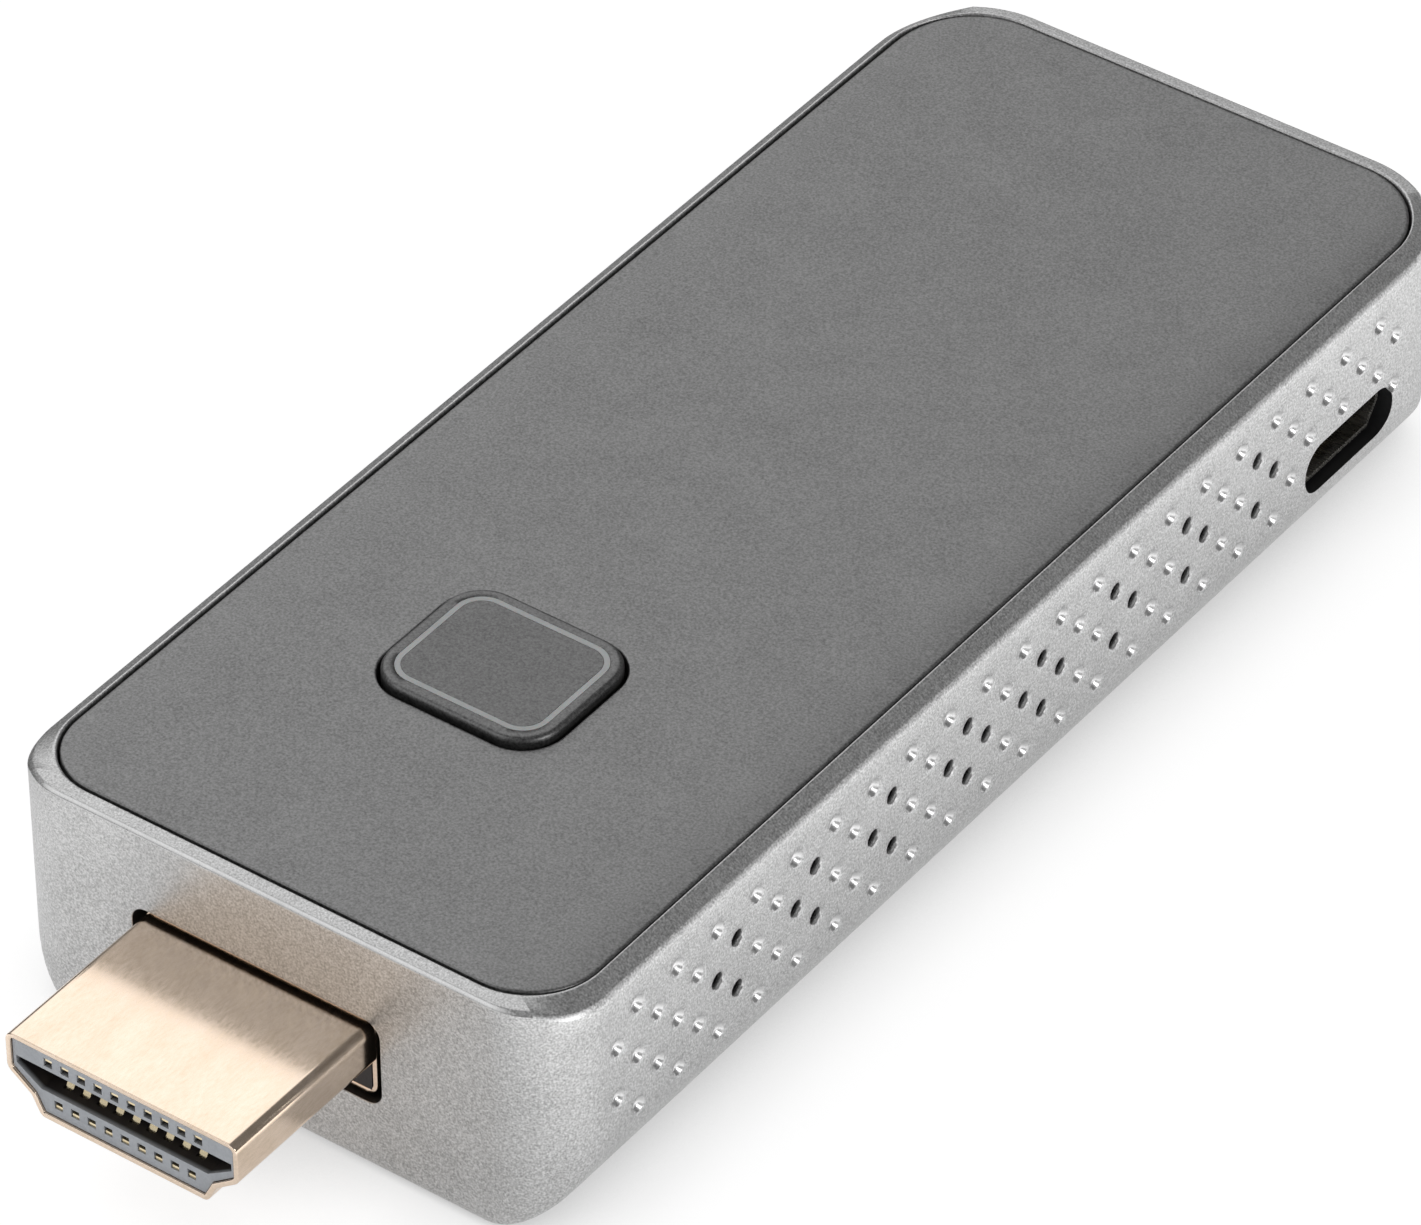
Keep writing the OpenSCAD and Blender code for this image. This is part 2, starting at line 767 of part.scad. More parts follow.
module radio_chip() {
    color([0.1, 0.1, 0.11]) board_block(radio_chip_shares, radio_t, radio_chip_h, chip_r);
}

module radio_shield() {
    can_w = can_shares[2] * board_w;
    can_l = can_shares[3] * board_l;
    color("silver")
    on_board(can_shares, radio_t) difference() {
        chip(can_w, can_l, can_h, can_r);
        translate([0, 0, -over])
            chip(can_w - 2 * can_sheet, can_l - 2 * can_sheet, can_h - can_sheet + over, can_r - can_sheet);
    }
}

// Aerials at the far corners, the right one in front of the socket
antenna_left_shares = [-0.42, 0.785, 0.069, 0.104];
antenna_right_x_share = 0.42;
antenna_gap = 1.55;
antenna_h = 0.9;

module chip_antennas() {
    antenna_w = antenna_left_shares[2] * board_w;
    antenna_l = antenna_left_shares[3] * board_l;
    antenna_right_y = socket_y - (socket_w + antenna_l) / 2 - antenna_gap;
    color("white")
    union() {
        board_block(antenna_left_shares, 0, antenna_h, chip_r);
        translate([antenna_right_x_share * board_w, antenna_right_y, board_top_z])
            chip(antenna_w, antenna_l, antenna_h, chip_r);
    }
}

crystal_shares = [[0.352, 0.27, 0.11, 0.037], [0.193, 0.964, 0.11, 0.037]];
crystal_h = 0.8;
crystal_r = 0.5;

module reference_crystals() {
    color("silver") for (shares = crystal_shares) board_block(shares, 0, crystal_h, crystal_r);
}

// Power supply, beside the button switch and near the socket
inductor_shares = [[0.338, 0.151, 0.172, 0.075], [0.2, 0.884, 0.172, 0.075]];
inductor_h = 2;
inductor_r = 0.9;
inductor_well_d = 2.2;
inductor_well = 0.3;
controller_shares = [[0.297, 0.084, 0.103, 0.045], [0.2, 0.818, 0.103, 0.045]];
controller_h = 0.8;
tantalum_shares = [-0.366, 0.089, 0.121, 0.041];
tantalum_step_share = 0.046;
tantalum_count = 3;
tantalum_h = 1.9;
ceramic_shares = [[-0.214, 0.268, 0.028, 0.024], [-0.131, 0.775, 0.028, 0.024]];
ceramic_step_share = 0.0655;
ceramic_counts = [8, 6];
ceramic_h = 0.8;
ceramic_r = 0.1;

module power_inductors() {
    color([0.25, 0.25, 0.26])
    for (shares = inductor_shares) difference() {
        board_block(shares, 0, inductor_h, inductor_r);
        on_board(shares, inductor_h - inductor_well) cylinder(h = inductor_well + over, d = inductor_well_d);
    }
}

module power_controllers() {
    color([0.1, 0.1, 0.11]) for (shares = controller_shares) board_block(shares, 0, controller_h, chip_r);
}

module bulk_capacitors() {
    color("orange")
    for (n = [0 : tantalum_count - 1]) translate([0, n * tantalum_step_share * board_l, 0])
        board_block(tantalum_shares, 0, tantalum_h, chip_r);
}

module small_capacitors() {
    color("tan")
    for (row = [0, 1], n = [0 : ceramic_counts[row] - 1])
        translate([n * ceramic_step_share * board_w, 0, 0])
            board_block(ceramic_shares[row], 0, ceramic_h, ceramic_r);
}

housing();
top_cover();
cover_adhesive();
button_cap();
button_light_ring();
button_switch_body();
button_switch_plunger();
button_switch_terminals();
status_leds();
plug_front_shell();
plug_rear_shell();
plug_insert();
plug_upper_contacts();
plug_lower_contacts();
power_socket_shell();
power_socket_tongue();
power_socket_contacts();
main_board();
board_screws();
video_processor();
processor_thermal_pad();
heat_spreader();
memory_chips();
flash_chip();
radio_board();
radio_chip();
radio_shield();
chip_antennas();
reference_crystals();
power_inductors();
power_controllers();
bulk_capacitors();
small_capacitors();
rating_label();
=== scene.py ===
import math

import bmesh
import bpy
from mathutils import Matrix, Vector


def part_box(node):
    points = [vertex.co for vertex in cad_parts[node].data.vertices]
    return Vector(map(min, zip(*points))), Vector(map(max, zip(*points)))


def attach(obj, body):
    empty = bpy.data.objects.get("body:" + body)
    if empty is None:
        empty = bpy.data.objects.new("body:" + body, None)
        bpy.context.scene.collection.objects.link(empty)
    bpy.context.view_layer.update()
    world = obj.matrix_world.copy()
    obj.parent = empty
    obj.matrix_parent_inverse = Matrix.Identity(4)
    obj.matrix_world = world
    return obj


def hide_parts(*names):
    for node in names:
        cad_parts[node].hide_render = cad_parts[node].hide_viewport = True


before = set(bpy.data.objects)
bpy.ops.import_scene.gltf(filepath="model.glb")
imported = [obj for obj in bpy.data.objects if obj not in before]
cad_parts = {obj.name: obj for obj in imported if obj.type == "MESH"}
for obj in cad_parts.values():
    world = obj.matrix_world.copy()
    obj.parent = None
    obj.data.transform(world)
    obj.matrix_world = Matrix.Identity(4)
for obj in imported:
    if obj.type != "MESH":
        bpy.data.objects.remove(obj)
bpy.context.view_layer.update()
print("frame loaded with", len(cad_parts), "nodes")

# Lengths below are in millimetres, and a finished mesh is scaled to metres. Points nearer than
# doubled are one point
mm = 0.001
doubled = 0.0005


def boxOf(node):
    low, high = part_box(node)
    return low / mm, high / mm


housingLow, housingHigh = boxOf("housing")
plugLow, plugHigh = boxOf("plug_front_shell")
sleeveLow, sleeveHigh = boxOf("plug_rear_shell")
coverLow, coverHigh = boxOf("top_cover")
capLow, capHigh = boxOf("button_cap")
socketLow, socketHigh = boxOf("power_socket_shell")
plugX = (plugLow.x + plugHigh.x) / 2
insertLow = boxOf("plug_insert")[0]
labelLow, labelHigh = boxOf("rating_label")
frontY, backY = housingLow.y, housingHigh.y
halfWidth, height = housingHigh.x, housingHigh.z


def newObject(name, data):
    made = bpy.data.objects.new(name, data)
    bpy.context.scene.collection.objects.link(made)
    return made


# Camera, at the photograph's angle
camera = {"lens": 234.07, "azimuth": 36.5024, "elevation": 39.5900, "roll": -0.47626,
          "distance": 432.251, "right": 20.682, "up": 13.257, "sensor": 36, "clip": (0.02, 20)}


def placeCamera(look):
    azimuth, elevation, roll = (math.radians(look[key]) for key in ("azimuth", "elevation", "roll"))
    back = Vector((math.sin(azimuth) * math.cos(elevation), -math.cos(azimuth) * math.cos(elevation),
                   math.sin(elevation)))
    right = Vector((math.cos(azimuth), math.sin(azimuth), 0))
    up = back.cross(right)
    rolledRight = right * math.cos(roll) + up * math.sin(roll)
    rolledUp = up * math.cos(roll) - right * math.sin(roll)
    corner = Vector((0, frontY, height))
    place = corner + rolledRight * look["right"] + rolledUp * look["up"] + back * look["distance"]
    data = bpy.data.cameras.new("photoCamera")
    data.lens, data.sensor_width = look["lens"], look["sensor"]
    data.clip_start, data.clip_end = look["clip"]
    seen = newObject("photoCamera", data)
    turn = Matrix((rolledRight, rolledUp, back)).transposed().to_4x4()
    seen.matrix_world = Matrix.Translation(place * mm) @ turn
    bpy.context.scene.camera = seen


placeCamera(camera)
bpy.context.scene.view_settings.view_transform = "Standard"
print("camera placed")


# Node trees
def linearColour(code):
    shares = [int(code[i:i + 2], 16) / 255 for i in (1, 3, 5)]
    linear = [s / 12.92 if s <= 0.04045 else ((s + 0.055) / 1.055) ** 2.4 for s in shares]
    return (*linear, 1)


def addNode(tree, kind, inputs=None, **settings):
    node = tree.nodes.new("ShaderNode" + kind)
    for name, value in settings.items():
        setattr(node, name, value)
    for name, value in (inputs or {}).items():
        if isinstance(value, bpy.types.NodeSocket):
            tree.links.new(value, node.inputs[name])
        else:
            node.inputs[name].default_value = value
    return node


def mapRange(tree, value, low, high, bottom=0, top=1, **settings):
    limits = {"From Min": low, "From Max": high, "To Min": bottom, "To Max": top}
    return addNode(tree, "MapRange", {"Value": value, **limits}, **settings).outputs[0]


def mixColours(tree, share, first, second):
    return addNode(tree, "Mix", {"Factor": share, 6: first, 7: second}, data_type="RGBA").outputs[2]


def combine(tree, operation, *values):
    return addNode(tree, "Math", dict(enumerate(values)), operation=operation).outputs[0]


def emptyTree(owner):
    owner.use_nodes = True
    owner.node_tree.nodes.clear()
    return owner.node_tree


def patternScale(size):
    return 1 / (size * mm)


# Noise stays near 0.5, so the middle of its range is spread over the whole look
noise = {"grainDetail": 3.0, "grainRoughness": 0.6, "cloudDetail": 2.0, "toneRange": (0.32, 0.68),
         "roughRange": (0.3, 0.7)}


# Grain, tone and roughness of one surface, all from noise at real sizes; a look with depth also gets
# painted shade along Y
def surfaceMaterial(name, look):
    material = bpy.data.materials.new(name)
    tree = emptyTree(material)
    cloudSize, cloudShare = look["cloud"]
    bumpStrength, bumpDepth = look["bump"]
    place = addNode(tree, "TexCoord").outputs["Object"]
    if "stretch" in look:
        place = addNode(tree, "Mapping", {"Vector": place, "Scale": look["stretch"]}).outputs[0]
    grain = addNode(tree, "TexNoise",
                    {"Vector": place, "Scale": patternScale(look["grain"]),
                     "Detail": noise["grainDetail"], "Roughness": noise["grainRoughness"]}).outputs[0]
    cloud = addNode(tree, "TexNoise", {"Vector": place, "Scale": patternScale(cloudSize),
                                       "Detail": noise["cloudDetail"]})
    clouds = combine(tree, "MULTIPLY", cloud.outputs[0], cloudShare)
    tone = combine(tree, "MULTIPLY_ADD", grain, 1 - cloudShare, clouds)
    colour = mixColours(tree, mapRange(tree, tone, *noise["toneRange"]),
                        *map(linearColour, look["tones"]))
    # Painted shade: past start the colour runs into a dark tone along Y, standing in for the shade deep
    # inside the mouth
    if "depth" in look:
        depth = look["depth"]
        axes = addNode(tree, "SeparateXYZ", {"Vector": place})
        inward = mapRange(tree, axes.outputs["Y"], depth["start"] * mm, depth["end"] * mm)
        colour = mixColours(tree, inward, colour, linearColour(depth["colour"]))
    rough = mapRange(tree, grain, *noise["roughRange"], *look["roughness"])
    bump = addNode(tree, "Bump",
                   {"Height": grain, "Strength": bumpStrength, "Distance": bumpDepth * mm})
    shader = addNode(tree, "BsdfPrincipled",
                     {"Base Color": colour, "Roughness": rough, "Normal": bump.outputs[0],
                      "Metallic": look["metallic"]})
    for socket, value in look.get("sockets", {}).items():
        shader.inputs[socket].default_value = value
    addNode(tree, "OutputMaterial", {"Surface": shader.outputs[0]})
    return material


# Sizes in millimetres: cloud is its size and its share of the tone, bump its strength and depth
plainLook = {"metallic": 0.0, "grain": 0.1, "cloud": (1, 0.4), "roughness": (0.35, 0.5),
             "bump": (0.2, 0.01)}
sprayLook = {"metallic": 0.9, "cloud": (3, 0.08), "roughness": (0.34, 0.5), "bump": (0.3, 0.012)}
looks = {
    # Silver metallic spray: tiny flakes give a satin sheen that mirrors the room softly
    "silverSpray": {**sprayLook, "tones": ("#989898", "#e4e4e4"), "grain": 0.11, "cloud": (2.5, 0.08)},
    # Lighter, smoother metal on dimple bowls, hole walls and the rim's front and back edge: its lighter
    # colour is painted highlight for their bright spots and edge line
    "paintedHighlightMetal": {"tones": ("#c4c4c4", "#dedede"), "metallic": 0.95, "cloud": (1, 0.3),
                  "roughness": (0.26, 0.34), "bump": (0.1, 0.005)},
    # Gunmetal spray on the cover: darker, a little coarser, the same satin sheen
    "gunmetalSpray": {**sprayLook, "tones": ("#606060", "#989898"), "grain": 0.13},
    # The button's coat: the same gunmetal, sprayed a shade darker and finer
    "gunmetalButton": {**sprayLook, "tones": ("#545454", "#848484"), "grain": 0.12},
    # Milky light guide: pale, even, a soft gloss and a little depth
    "milkyGuide": {"tones": ("#b2b4b4", "#c3c4c4"), "grain": 0.4, "cloud": (2, 0.6),
                   "roughness": (0.3, 0.42), "bump": (0.1, 0.01),
                   "sockets": {"Subsurface Weight": 0.2, "Subsurface Scale": 0.0004}},
    # Pale gold flash over nickel: bright warm metal with faint draw lines along the plug
    "paleGold": {"tones": ("#e0cbb4", "#f3dfcd"), "metallic": 1.0, "grain": 0.16,
                 "cloud": (1.5, 0.4), "roughness": (0.14, 0.22), "bump": (0.12, 0.005),
                 "stretch": (1, 0.3, 1)},
    # Polished gold flash on the contacts: yellower, so their tips shine out of the dark mouth
    "contactGold": {"tones": ("#f0dbae", "#fff1d0"), "metallic": 0.85, "cloud": (0.6, 0.4),
                    "roughness": (0.16, 0.26), "bump": (0.1, 0.004)},
    # Grey moulded insert, glass-filled: satin with faint flow marks; painted shade turns it near black
    # inside the mouth
    "greyInsert": {"tones": ("#a2a6ac", "#b6babf"), "grain": 0.15, "cloud": (1.2, 0.4),
                   "roughness": (0.45, 0.6),
                   "depth": {"start": insertLow.y + 0.02, "end": insertLow.y + 0.3,
                             "colour": "#2b2728"}},
    # Black moulding with fine spark grain: it keeps the inside, the holes and the socket dark
    "blackMoulding": {"tones": ("#141415", "#222224"), "grain": 0.15, "cloud": (1.2, 0.3),
                      "roughness": (0.45, 0.6), "bump": (0.3, 0.012)},
    # Black foam tape: dead matte, so the gap round the cover reads as a black line
    "blackTape": {"tones": ("#0d0d0d", "#1b1b1b"), "grain": 0.25, "cloud": (2, 0.3),
                  "roughness": (0.75, 0.9), "bump": (0.4, 0.03)},
    # Ivory nylon: warm, slightly cloudy, softly shining
    "ivoryPlunger": {"tones": ("#cfc9b3", "#ded9c6"), "grain": 0.2, "cloud": (1.5, 0.4),
                     "bump": (0.15, 0.01)},
    # Bright tin: soft grey metal with cloudy crystals
    "brightTin": {"tones": ("#b3b3ae", "#d6d5cf"), "metallic": 1.0, "cloud": (0.7, 0.6),
                  "roughness": (0.25, 0.42), "bump": (0.12, 0.006)},
    # Clear lamp resin: glossy, with the pale phosphor glowing through
    "lampResin": {"tones": ("#d8d5c0", "#ece9d8"), "grain": 0.2, "cloud": (0.6, 0.5),
                  "roughness": (0.1, 0.2), "bump": (0.05, 0.005),
                  "sockets": {"Subsurface Weight": 0.4, "Subsurface Scale": 0.0005}},
    # Nickel-plated sheet: warm grey metal with fine rolling lines across the socket
    "nickelSheet": {"tones": ("#a5a29b", "#cbc8c1"), "metallic": 1.0, "cloud": (1, 0.3),
                    "roughness": (0.22, 0.34), "bump": (0.12, 0.005), "stretch": (0.1, 1, 1)},
    # Green solder mask over copper and glass weave: semi-gloss with a slight unevenness
    "boardLaminate": {"tones": ("#0f3a22", "#1c5634"), "grain": 0.45, "cloud": (3, 0.5),
                      "roughness": (0.25, 0.4), "bump": (0.25, 0.02)},
    # Blue solder mask on the radio's own board, so it stands out from the green one
    "radioLaminate": {"tones": ("#0f1e45", "#1b3263"), "grain": 0.4, "cloud": (2, 0.5),
                      "roughness": (0.25, 0.4), "bump": (0.25, 0.02)},
    # Zinc-plated steel: grey metal with a fine sparkle
    "screwSteel": {"tones": ("#8f8f8c", "#bcbcb8"), "metallic": 1.0, "grain": 0.08,
                   "cloud": (0.8, 0.3), "roughness": (0.25, 0.4), "bump": (0.2, 0.006)},
    # Moulded chip resin: near black, matte, with a fine sandy grain
    "chipResin": {"tones": ("#1b1b1d", "#2b2b2e"), "grain": 0.07, "cloud": (1.5, 0.3),
                  "roughness": (0.5, 0.65), "bump": (0.4, 0.01)},
    # Thermal silicone: chalky blue and soft, with a faint dimpled skin
    "thermalSilicone": {"tones": ("#7287a8", "#8a9dba"), "grain": 0.3, "cloud": (2, 0.4),
                        "roughness": (0.6, 0.75), "bump": (0.2, 0.02)},
    # Milled aluminium: pale metal with long tool lines across the plate
    "milledAluminium": {"tones": ("#bdbdbf", "#dedee0"), "metallic": 1.0, "grain": 0.07,
                        "cloud": (3, 0.2), "roughness": (0.28, 0.42), "bump": (0.2, 0.006),
                        "stretch": (0.05, 1, 1)},
    # White antenna ceramic: clean, hard and smooth
    "antennaCeramic": {"tones": ("#d9d8d2", "#eae9e4"), "cloud": (0.8, 0.4), "bump": (0.15, 0.006)},
    # Pressed ferrite: dark grey, dry and grainy
    "greyFerrite": {"tones": ("#3b3b3e", "#515154"), "metallic": 0.1, "grain": 0.12,
                    "cloud": (1, 0.3), "roughness": (0.55, 0.75), "bump": (0.5, 0.02)},
    # Amber resin of tantalum capacitors: even, satin
    "tantalumResin": {"tones": ("#c98b22", "#e0a63c"), "grain": 0.12, "roughness": (0.4, 0.55)},
    # Tan capacitor ceramic: smooth and slightly clouded
    "capacitorCeramic": {"tones": ("#a5876a", "#bfa184"), "cloud": (0.5, 0.4),
                         "bump": (0.15, 0.006)},
    # Blank label film: matte polyester with a slight orange peel
    "labelFilm": {"tones": ("#bcbec0", "#cbcdcf"), "grain": 0.35, "cloud": (4, 0.5),
                  "roughness": (0.5, 0.62), "bump": (0.12, 0.02)},
}
materials = {name: surfaceMaterial(name, {**plainLook, **look}) for name, look in looks.items()}
print("materials made:", len(materials))

# What the frame's nodes are made of
finishNodes = {
    "blackTape": ["cover_adhesive"], "milkyGuide": ["button_light_ring"],
    "blackMoulding": ["button_switch_body", "power_socket_tongue"],
    "ivoryPlunger": ["button_switch_plunger"],
    "brightTin": ["button_switch_terminals", "radio_shield", "reference_crystals"],
    "lampResin": ["status_leds"], "greyInsert": ["plug_insert"],
    "contactGold": ["plug_upper_contacts", "plug_lower_contacts", "power_socket_contacts"],
    "nickelSheet": ["power_socket_shell"], "boardLaminate": ["main_board"],
    "screwSteel": ["board_screws"],
    "chipResin": ["video_processor", "memory_chips", "flash_chip", "radio_chip", "power_controllers"],
    "thermalSilicone": ["processor_thermal_pad"], "milledAluminium": ["heat_spreader"],
    "radioLaminate": ["radio_board"], "antennaCeramic": ["chip_antennas"],
    "greyFerrite": ["power_inductors"], "tantalumResin": ["bulk_capacitors"],
    "capacitorCeramic": ["small_capacitors"], "labelFilm": ["rating_label"],
    "silverSpray": ["housing"], "gunmetalSpray": ["top_cover"], "gunmetalButton": ["button_cap"],
    "paleGold": ["plug_front_shell", "plug_rear_shell"],
}
for finish, nodes in finishNodes.items():
    for node in nodes:
        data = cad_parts[node].data
        data.materials.clear()
        data.materials.append(materials[finish])
print("frame nodes dressed")


# Mesh helpers
def roundedCorners(corners, radii, steps):
    points = []
    for i, (corner, radius) in enumerate(zip(corners, radii)):
        toLast = (Vector(corners[i - 1]) - Vector(corner)).normalized()
        toNext = (Vector(corners[(i + 1) % len(corners)]) - Vector(corner)).normalized()
        half = toLast.angle(toNext) / 2
        centre = Vector(corner) + (toLast + toNext).normalized() * radius / math.sin(half)
        start = Vector(corner) + toLast * radius / math.tan(half) - centre
        end = Vector(corner) + toNext * radius / math.tan(half) - centre
        sweep = start.angle_signed(end) * -1
        for step in range(steps + 1):
            turn = Matrix.Rotation(sweep * step / steps, 2)
            points.append(centre + turn @ start)
    return points


# A corner's shift for one unit of inset
def mitre(before, after):
    normals = [Vector((-way.y, way.x)) for way in (before, after)]
    return (normals[0] + normals[1]) / (1 + normals[0].dot(normals[1]))


def insetCorners(corners, inset):
    moved = []
    for i, corner in enumerate(corners):
        here = Vector(corner)
        before = (here - Vector(corners[i - 1])).normalized()
        after = (Vector(corners[(i + 1) % len(corners)]) - here).normalized()
        moved.append(here + mitre(before, after) * inset)
    return moved


def rectangle(width, length, centre):
    return [Vector((centre[0] + sx * width / 2, centre[1] + sy * length / 2))
            for sx, sy in ((-1, -1), (1, -1), (1, 1), (-1, 1))]


def roundedBox(width, length, centre, radius, steps):
    return roundedCorners(rectangle(width, length, centre), [radius] * 4, steps)


# A small round has three points, the middle one at this share of its size from both faces
roundMiddle = 0.3


# A sheet of quads whose columns run round an outline and whose rows follow a section
def sweptGrid(columns, rows, place, closedSection=False):
    bm = bmesh.new()
    rowSpans = rows if closedSection else rows - 1
    bmesh.ops.create_grid(bm, x_segments=columns, y_segments=rowSpans, size=1)
    for vert in bm.verts:
        column = round((vert.co.x + 1) / 2 * columns) % columns
        row = round((vert.co.y + 1) / 2 * rowSpans) % rows
        vert.co = place(column, row)
    bmesh.ops.remove_doubles(bm, verts=bm.verts, dist=doubled)
    return bm


def faceOutward(bm):
    bmesh.ops.recalc_face_normals(bm, faces=bm.faces)


def closeEnds(bm):
    bmesh.ops.holes_fill(bm, edges=[e for e in bm.edges if e.is_boundary], sides=0)


def prism(outline, low, high, axis):
    bm = bmesh.new()
    bmesh.ops.create_circle(bm, cap_ends=True, segments=len(outline), radius=1)
    bm.verts.ensure_lookup_table()
    for vert, (a, b) in zip(bm.verts, outline):
        vert.co = {"x": (low, a, b), "y": (a, low, b), "z": (a, b, low)}[axis]
    made = bmesh.ops.extrude_face_region(bm, geom=list(bm.faces))
    offset = {"x": (high - low, 0, 0), "y": (0, high - low, 0), "z": (0, 0, high - low)}[axis]
    moved = [part for part in made["geom"] if isinstance(part, bmesh.types.BMVert)]
    bmesh.ops.translate(bm, vec=offset, verts=moved)
    faceOutward(bm)
    return bm


def meshObject(bm, name):
    bmesh.ops.scale(bm, vec=(mm, mm, mm), verts=bm.verts)
    mesh = bpy.data.meshes.new(name)
    bm.to_mesh(mesh)
    bm.free()
    return newObject(name, mesh)


def joinMesh(bm, other):
    held = bpy.data.meshes.new("held")
    other.to_mesh(held)
    other.free()
    bm.from_mesh(held)
    bpy.data.meshes.remove(held)


def cutAway(piece, tools):
    for tool in tools:
        cut = piece.modifiers.new(tool.name, "BOOLEAN")
        cut.operation = "DIFFERENCE"
        cut.solver = "EXACT"
        cut.object = tool
    cutMesh = bpy.data.meshes.new_from_object(
        piece.evaluated_get(bpy.context.evaluated_depsgraph_get()))
    piece.modifiers.clear()
    piece.data = cutMesh
    for tool in tools:
        bpy.data.objects.remove(tool)


def finishPiece(piece, node, finish, body="body", sharpAngle=50, isCrease=None):
    piece.data.materials.clear()
    piece.data.materials.append(materials[finish])
    piece.data.shade_smooth()
    piece.data.set_sharp_from_angle(angle=math.radians(sharpAngle))
    for edge in piece.data.edges:
        ends = [piece.data.vertices[i].co / mm for i in edge.vertices]
        edge.use_edge_sharp = edge.use_edge_sharp or bool(isCrease and isCrease(*ends))
    weighted = piece.modifiers.new("evenNormals", "WEIGHTED_NORMAL")
    weighted.keep_sharp = True
    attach(piece, body)
    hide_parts(node)
    print(piece.name, "made with", len(piece.data.polygons), "faces")


def roundedDistance(x, y, ring):
    half, front, back, frontRadius, backRadius = ring[:5]
    middle = (front + back) / 2
    radius = frontRadius if y < middle else backRadius
    dx = abs(x) - (half - radius)
    dy = (front + radius - y) if y < middle else (y - back + radius)
    outside = math.hypot(max(dx, 0), max(dy, 0))
    return outside + min(max(dx, dy), 0) - radius


# Silver housing: one skin from the belly up the wall, over the rim and down inside
housing = {"wall": 1.6, "bellyRadius": 5.6, "endRadius": 1.0, "frontRadius": 3.9, "backRadius": 6.0,
           "cornerPower": 4, "ledgeHeight": 13.2, "bareDepth": 0.42, "cornerSteps": 16,
           "endSteps": 24, "bellySteps": 14, "innerSteps": 8}
# Each round is a list of steps: the inner one as (mm out from the rim's inner edge, mm down), the
# outer one as shares of outerEdge (in, down)
rim = {"sideWidth": 1.04, "sideDrop": 0.77, "endWidth": 0.93, "endDrop": 0.11, "frontRadius": 4.0,
       "steps": 6, "firstShare": 0.24, "shareSpan": 0.56, "outerEdge": 0.2,
       "outerRound": ((0, 1), (0.1, 0.75), (0.8, 0.08), (1, 0)),
       "innerRound": ((0.15, 0), (0.09, 0.018), (0.04, 0.06), (0.01, 0.12), (0, 0.19)),
       "creaseColumn": 10, "creaseReach": 0.5, "creaseNear": 0.01, "slopeEnd": 0.06,
       "slopePower": 2.5}
# Painted highlight: a lighter strip on the rim's outer edge at the front and back, found by depth from
# the skin and by the way it faces
paintedHighlightStrip = {"height": 1, "from": 0.004, "to": 0.19, "mostSideways": 0.2, "leastEndways": 0.1}
bosses = {"width": 3.8, "pilot": 1.3, "depth": 3.0, "root": 0.2, "steps": 32, "screwHeadRadius": 1.4}
# The dimple's rings are given as (radius, mm below the lip)
vents = {"pitch": 1.585, "start": 6.42, "drop": 2.71, "rows": 5, "steps": 4, "sides": 16,
         "radius": 0.48, "lip": 0.53, "lipDrop": 0.04, "cutDepth": 0.06, "throat": 0.44,
         "throatDrop": 0.12, "sprayReach": 0.35, "firstRows": (3, 1), "fullDiagonals": 16,
         "dimple": ((0.36, 0.175), (0.24, 0.261), (0.12, 0.306)), "lastRowsRight": (3, 2, 2, 3, 1),
         "lastRowsLeft": (4, 4, 4, 3, 1), "holeRows": (1, 2, 3), "switch": 8, "inset": 0.02,
         "leastSideways": 0.9}
plugHole = {"gapWidth": 0.5, "gapHeight": 0.38, "radius": 0.9, "edge": 0.05, "steps": 8}
socketSlot = {"shellLength": 7.5, "gap": 0.31, "depth": 2.2, "endFlat": 0.03, "steps": 12}
labelRecess = {"gap": 0.2, "radius": 1.2, "steps": 6}
# How far the cutting tools stand out past the skin
toolReach = 1


def sinkOfArc(radius, level):
    return radius - math.sqrt(max(radius ** 2 - (radius - level) ** 2, 0)) if level < radius else 0


def outerRing(level):
    end = sinkOfArc(housing["endRadius"], level)
    return (halfWidth, frontY + end, backY - end, housing["frontRadius"], housing["backRadius"],
            halfWidth - sinkOfArc(housing["bellyRadius"], level))


def innerRing(level):
    wall = housing["wall"]
    side = halfWidth - wall
    return (side, frontY + wall, backY - wall, housing["frontRadius"] - wall,
            housing["backRadius"] - wall, side - sinkOfArc(housing["bellyRadius"] - wall, level - wall))


def rimRing(share):
    side, end = rim["sideWidth"] * share, rim["endWidth"] * share
    front = housing["frontRadius"] + (rim["frontRadius"] - housing["frontRadius"]) * share
    return (halfWidth - side, frontY + end, backY - end, front, housing["backRadius"] - side,
            halfWidth - side)


# The rim slopes down along the sides and lies nearly flat at the ends, parted by a crease
def rimLevel(station, share):
    kind, _, _, t = station
    turn = {"side": 0, "corner": t, "end": 1}[kind]
    flat, steep = rim["creaseColumn"] / housing["cornerSteps"], rim["slopeEnd"]
    slope = min(max((flat - turn) / (flat - steep), 0), 1)
    slope = 1 - (1 - slope) ** rim["slopePower"]
    drop = rim["endDrop"] + (rim["sideDrop"] - rim["endDrop"]) * slope
    return height - drop * (1 - share)


# The vents' grid starts one and a half pitches before the first place
ventCell = vents["pitch"] / vents["steps"]
ventFirstY = frontY + vents["start"] - 1.5 * vents["pitch"]
ventColumns = 2 * (vents["fullDiagonals"] + len(vents["lastRowsRight"])) + 1
ventTop = height - vents["drop"] + vents["pitch"] / 2
ventBottom = ventTop - vents["rows"] * vents["pitch"]


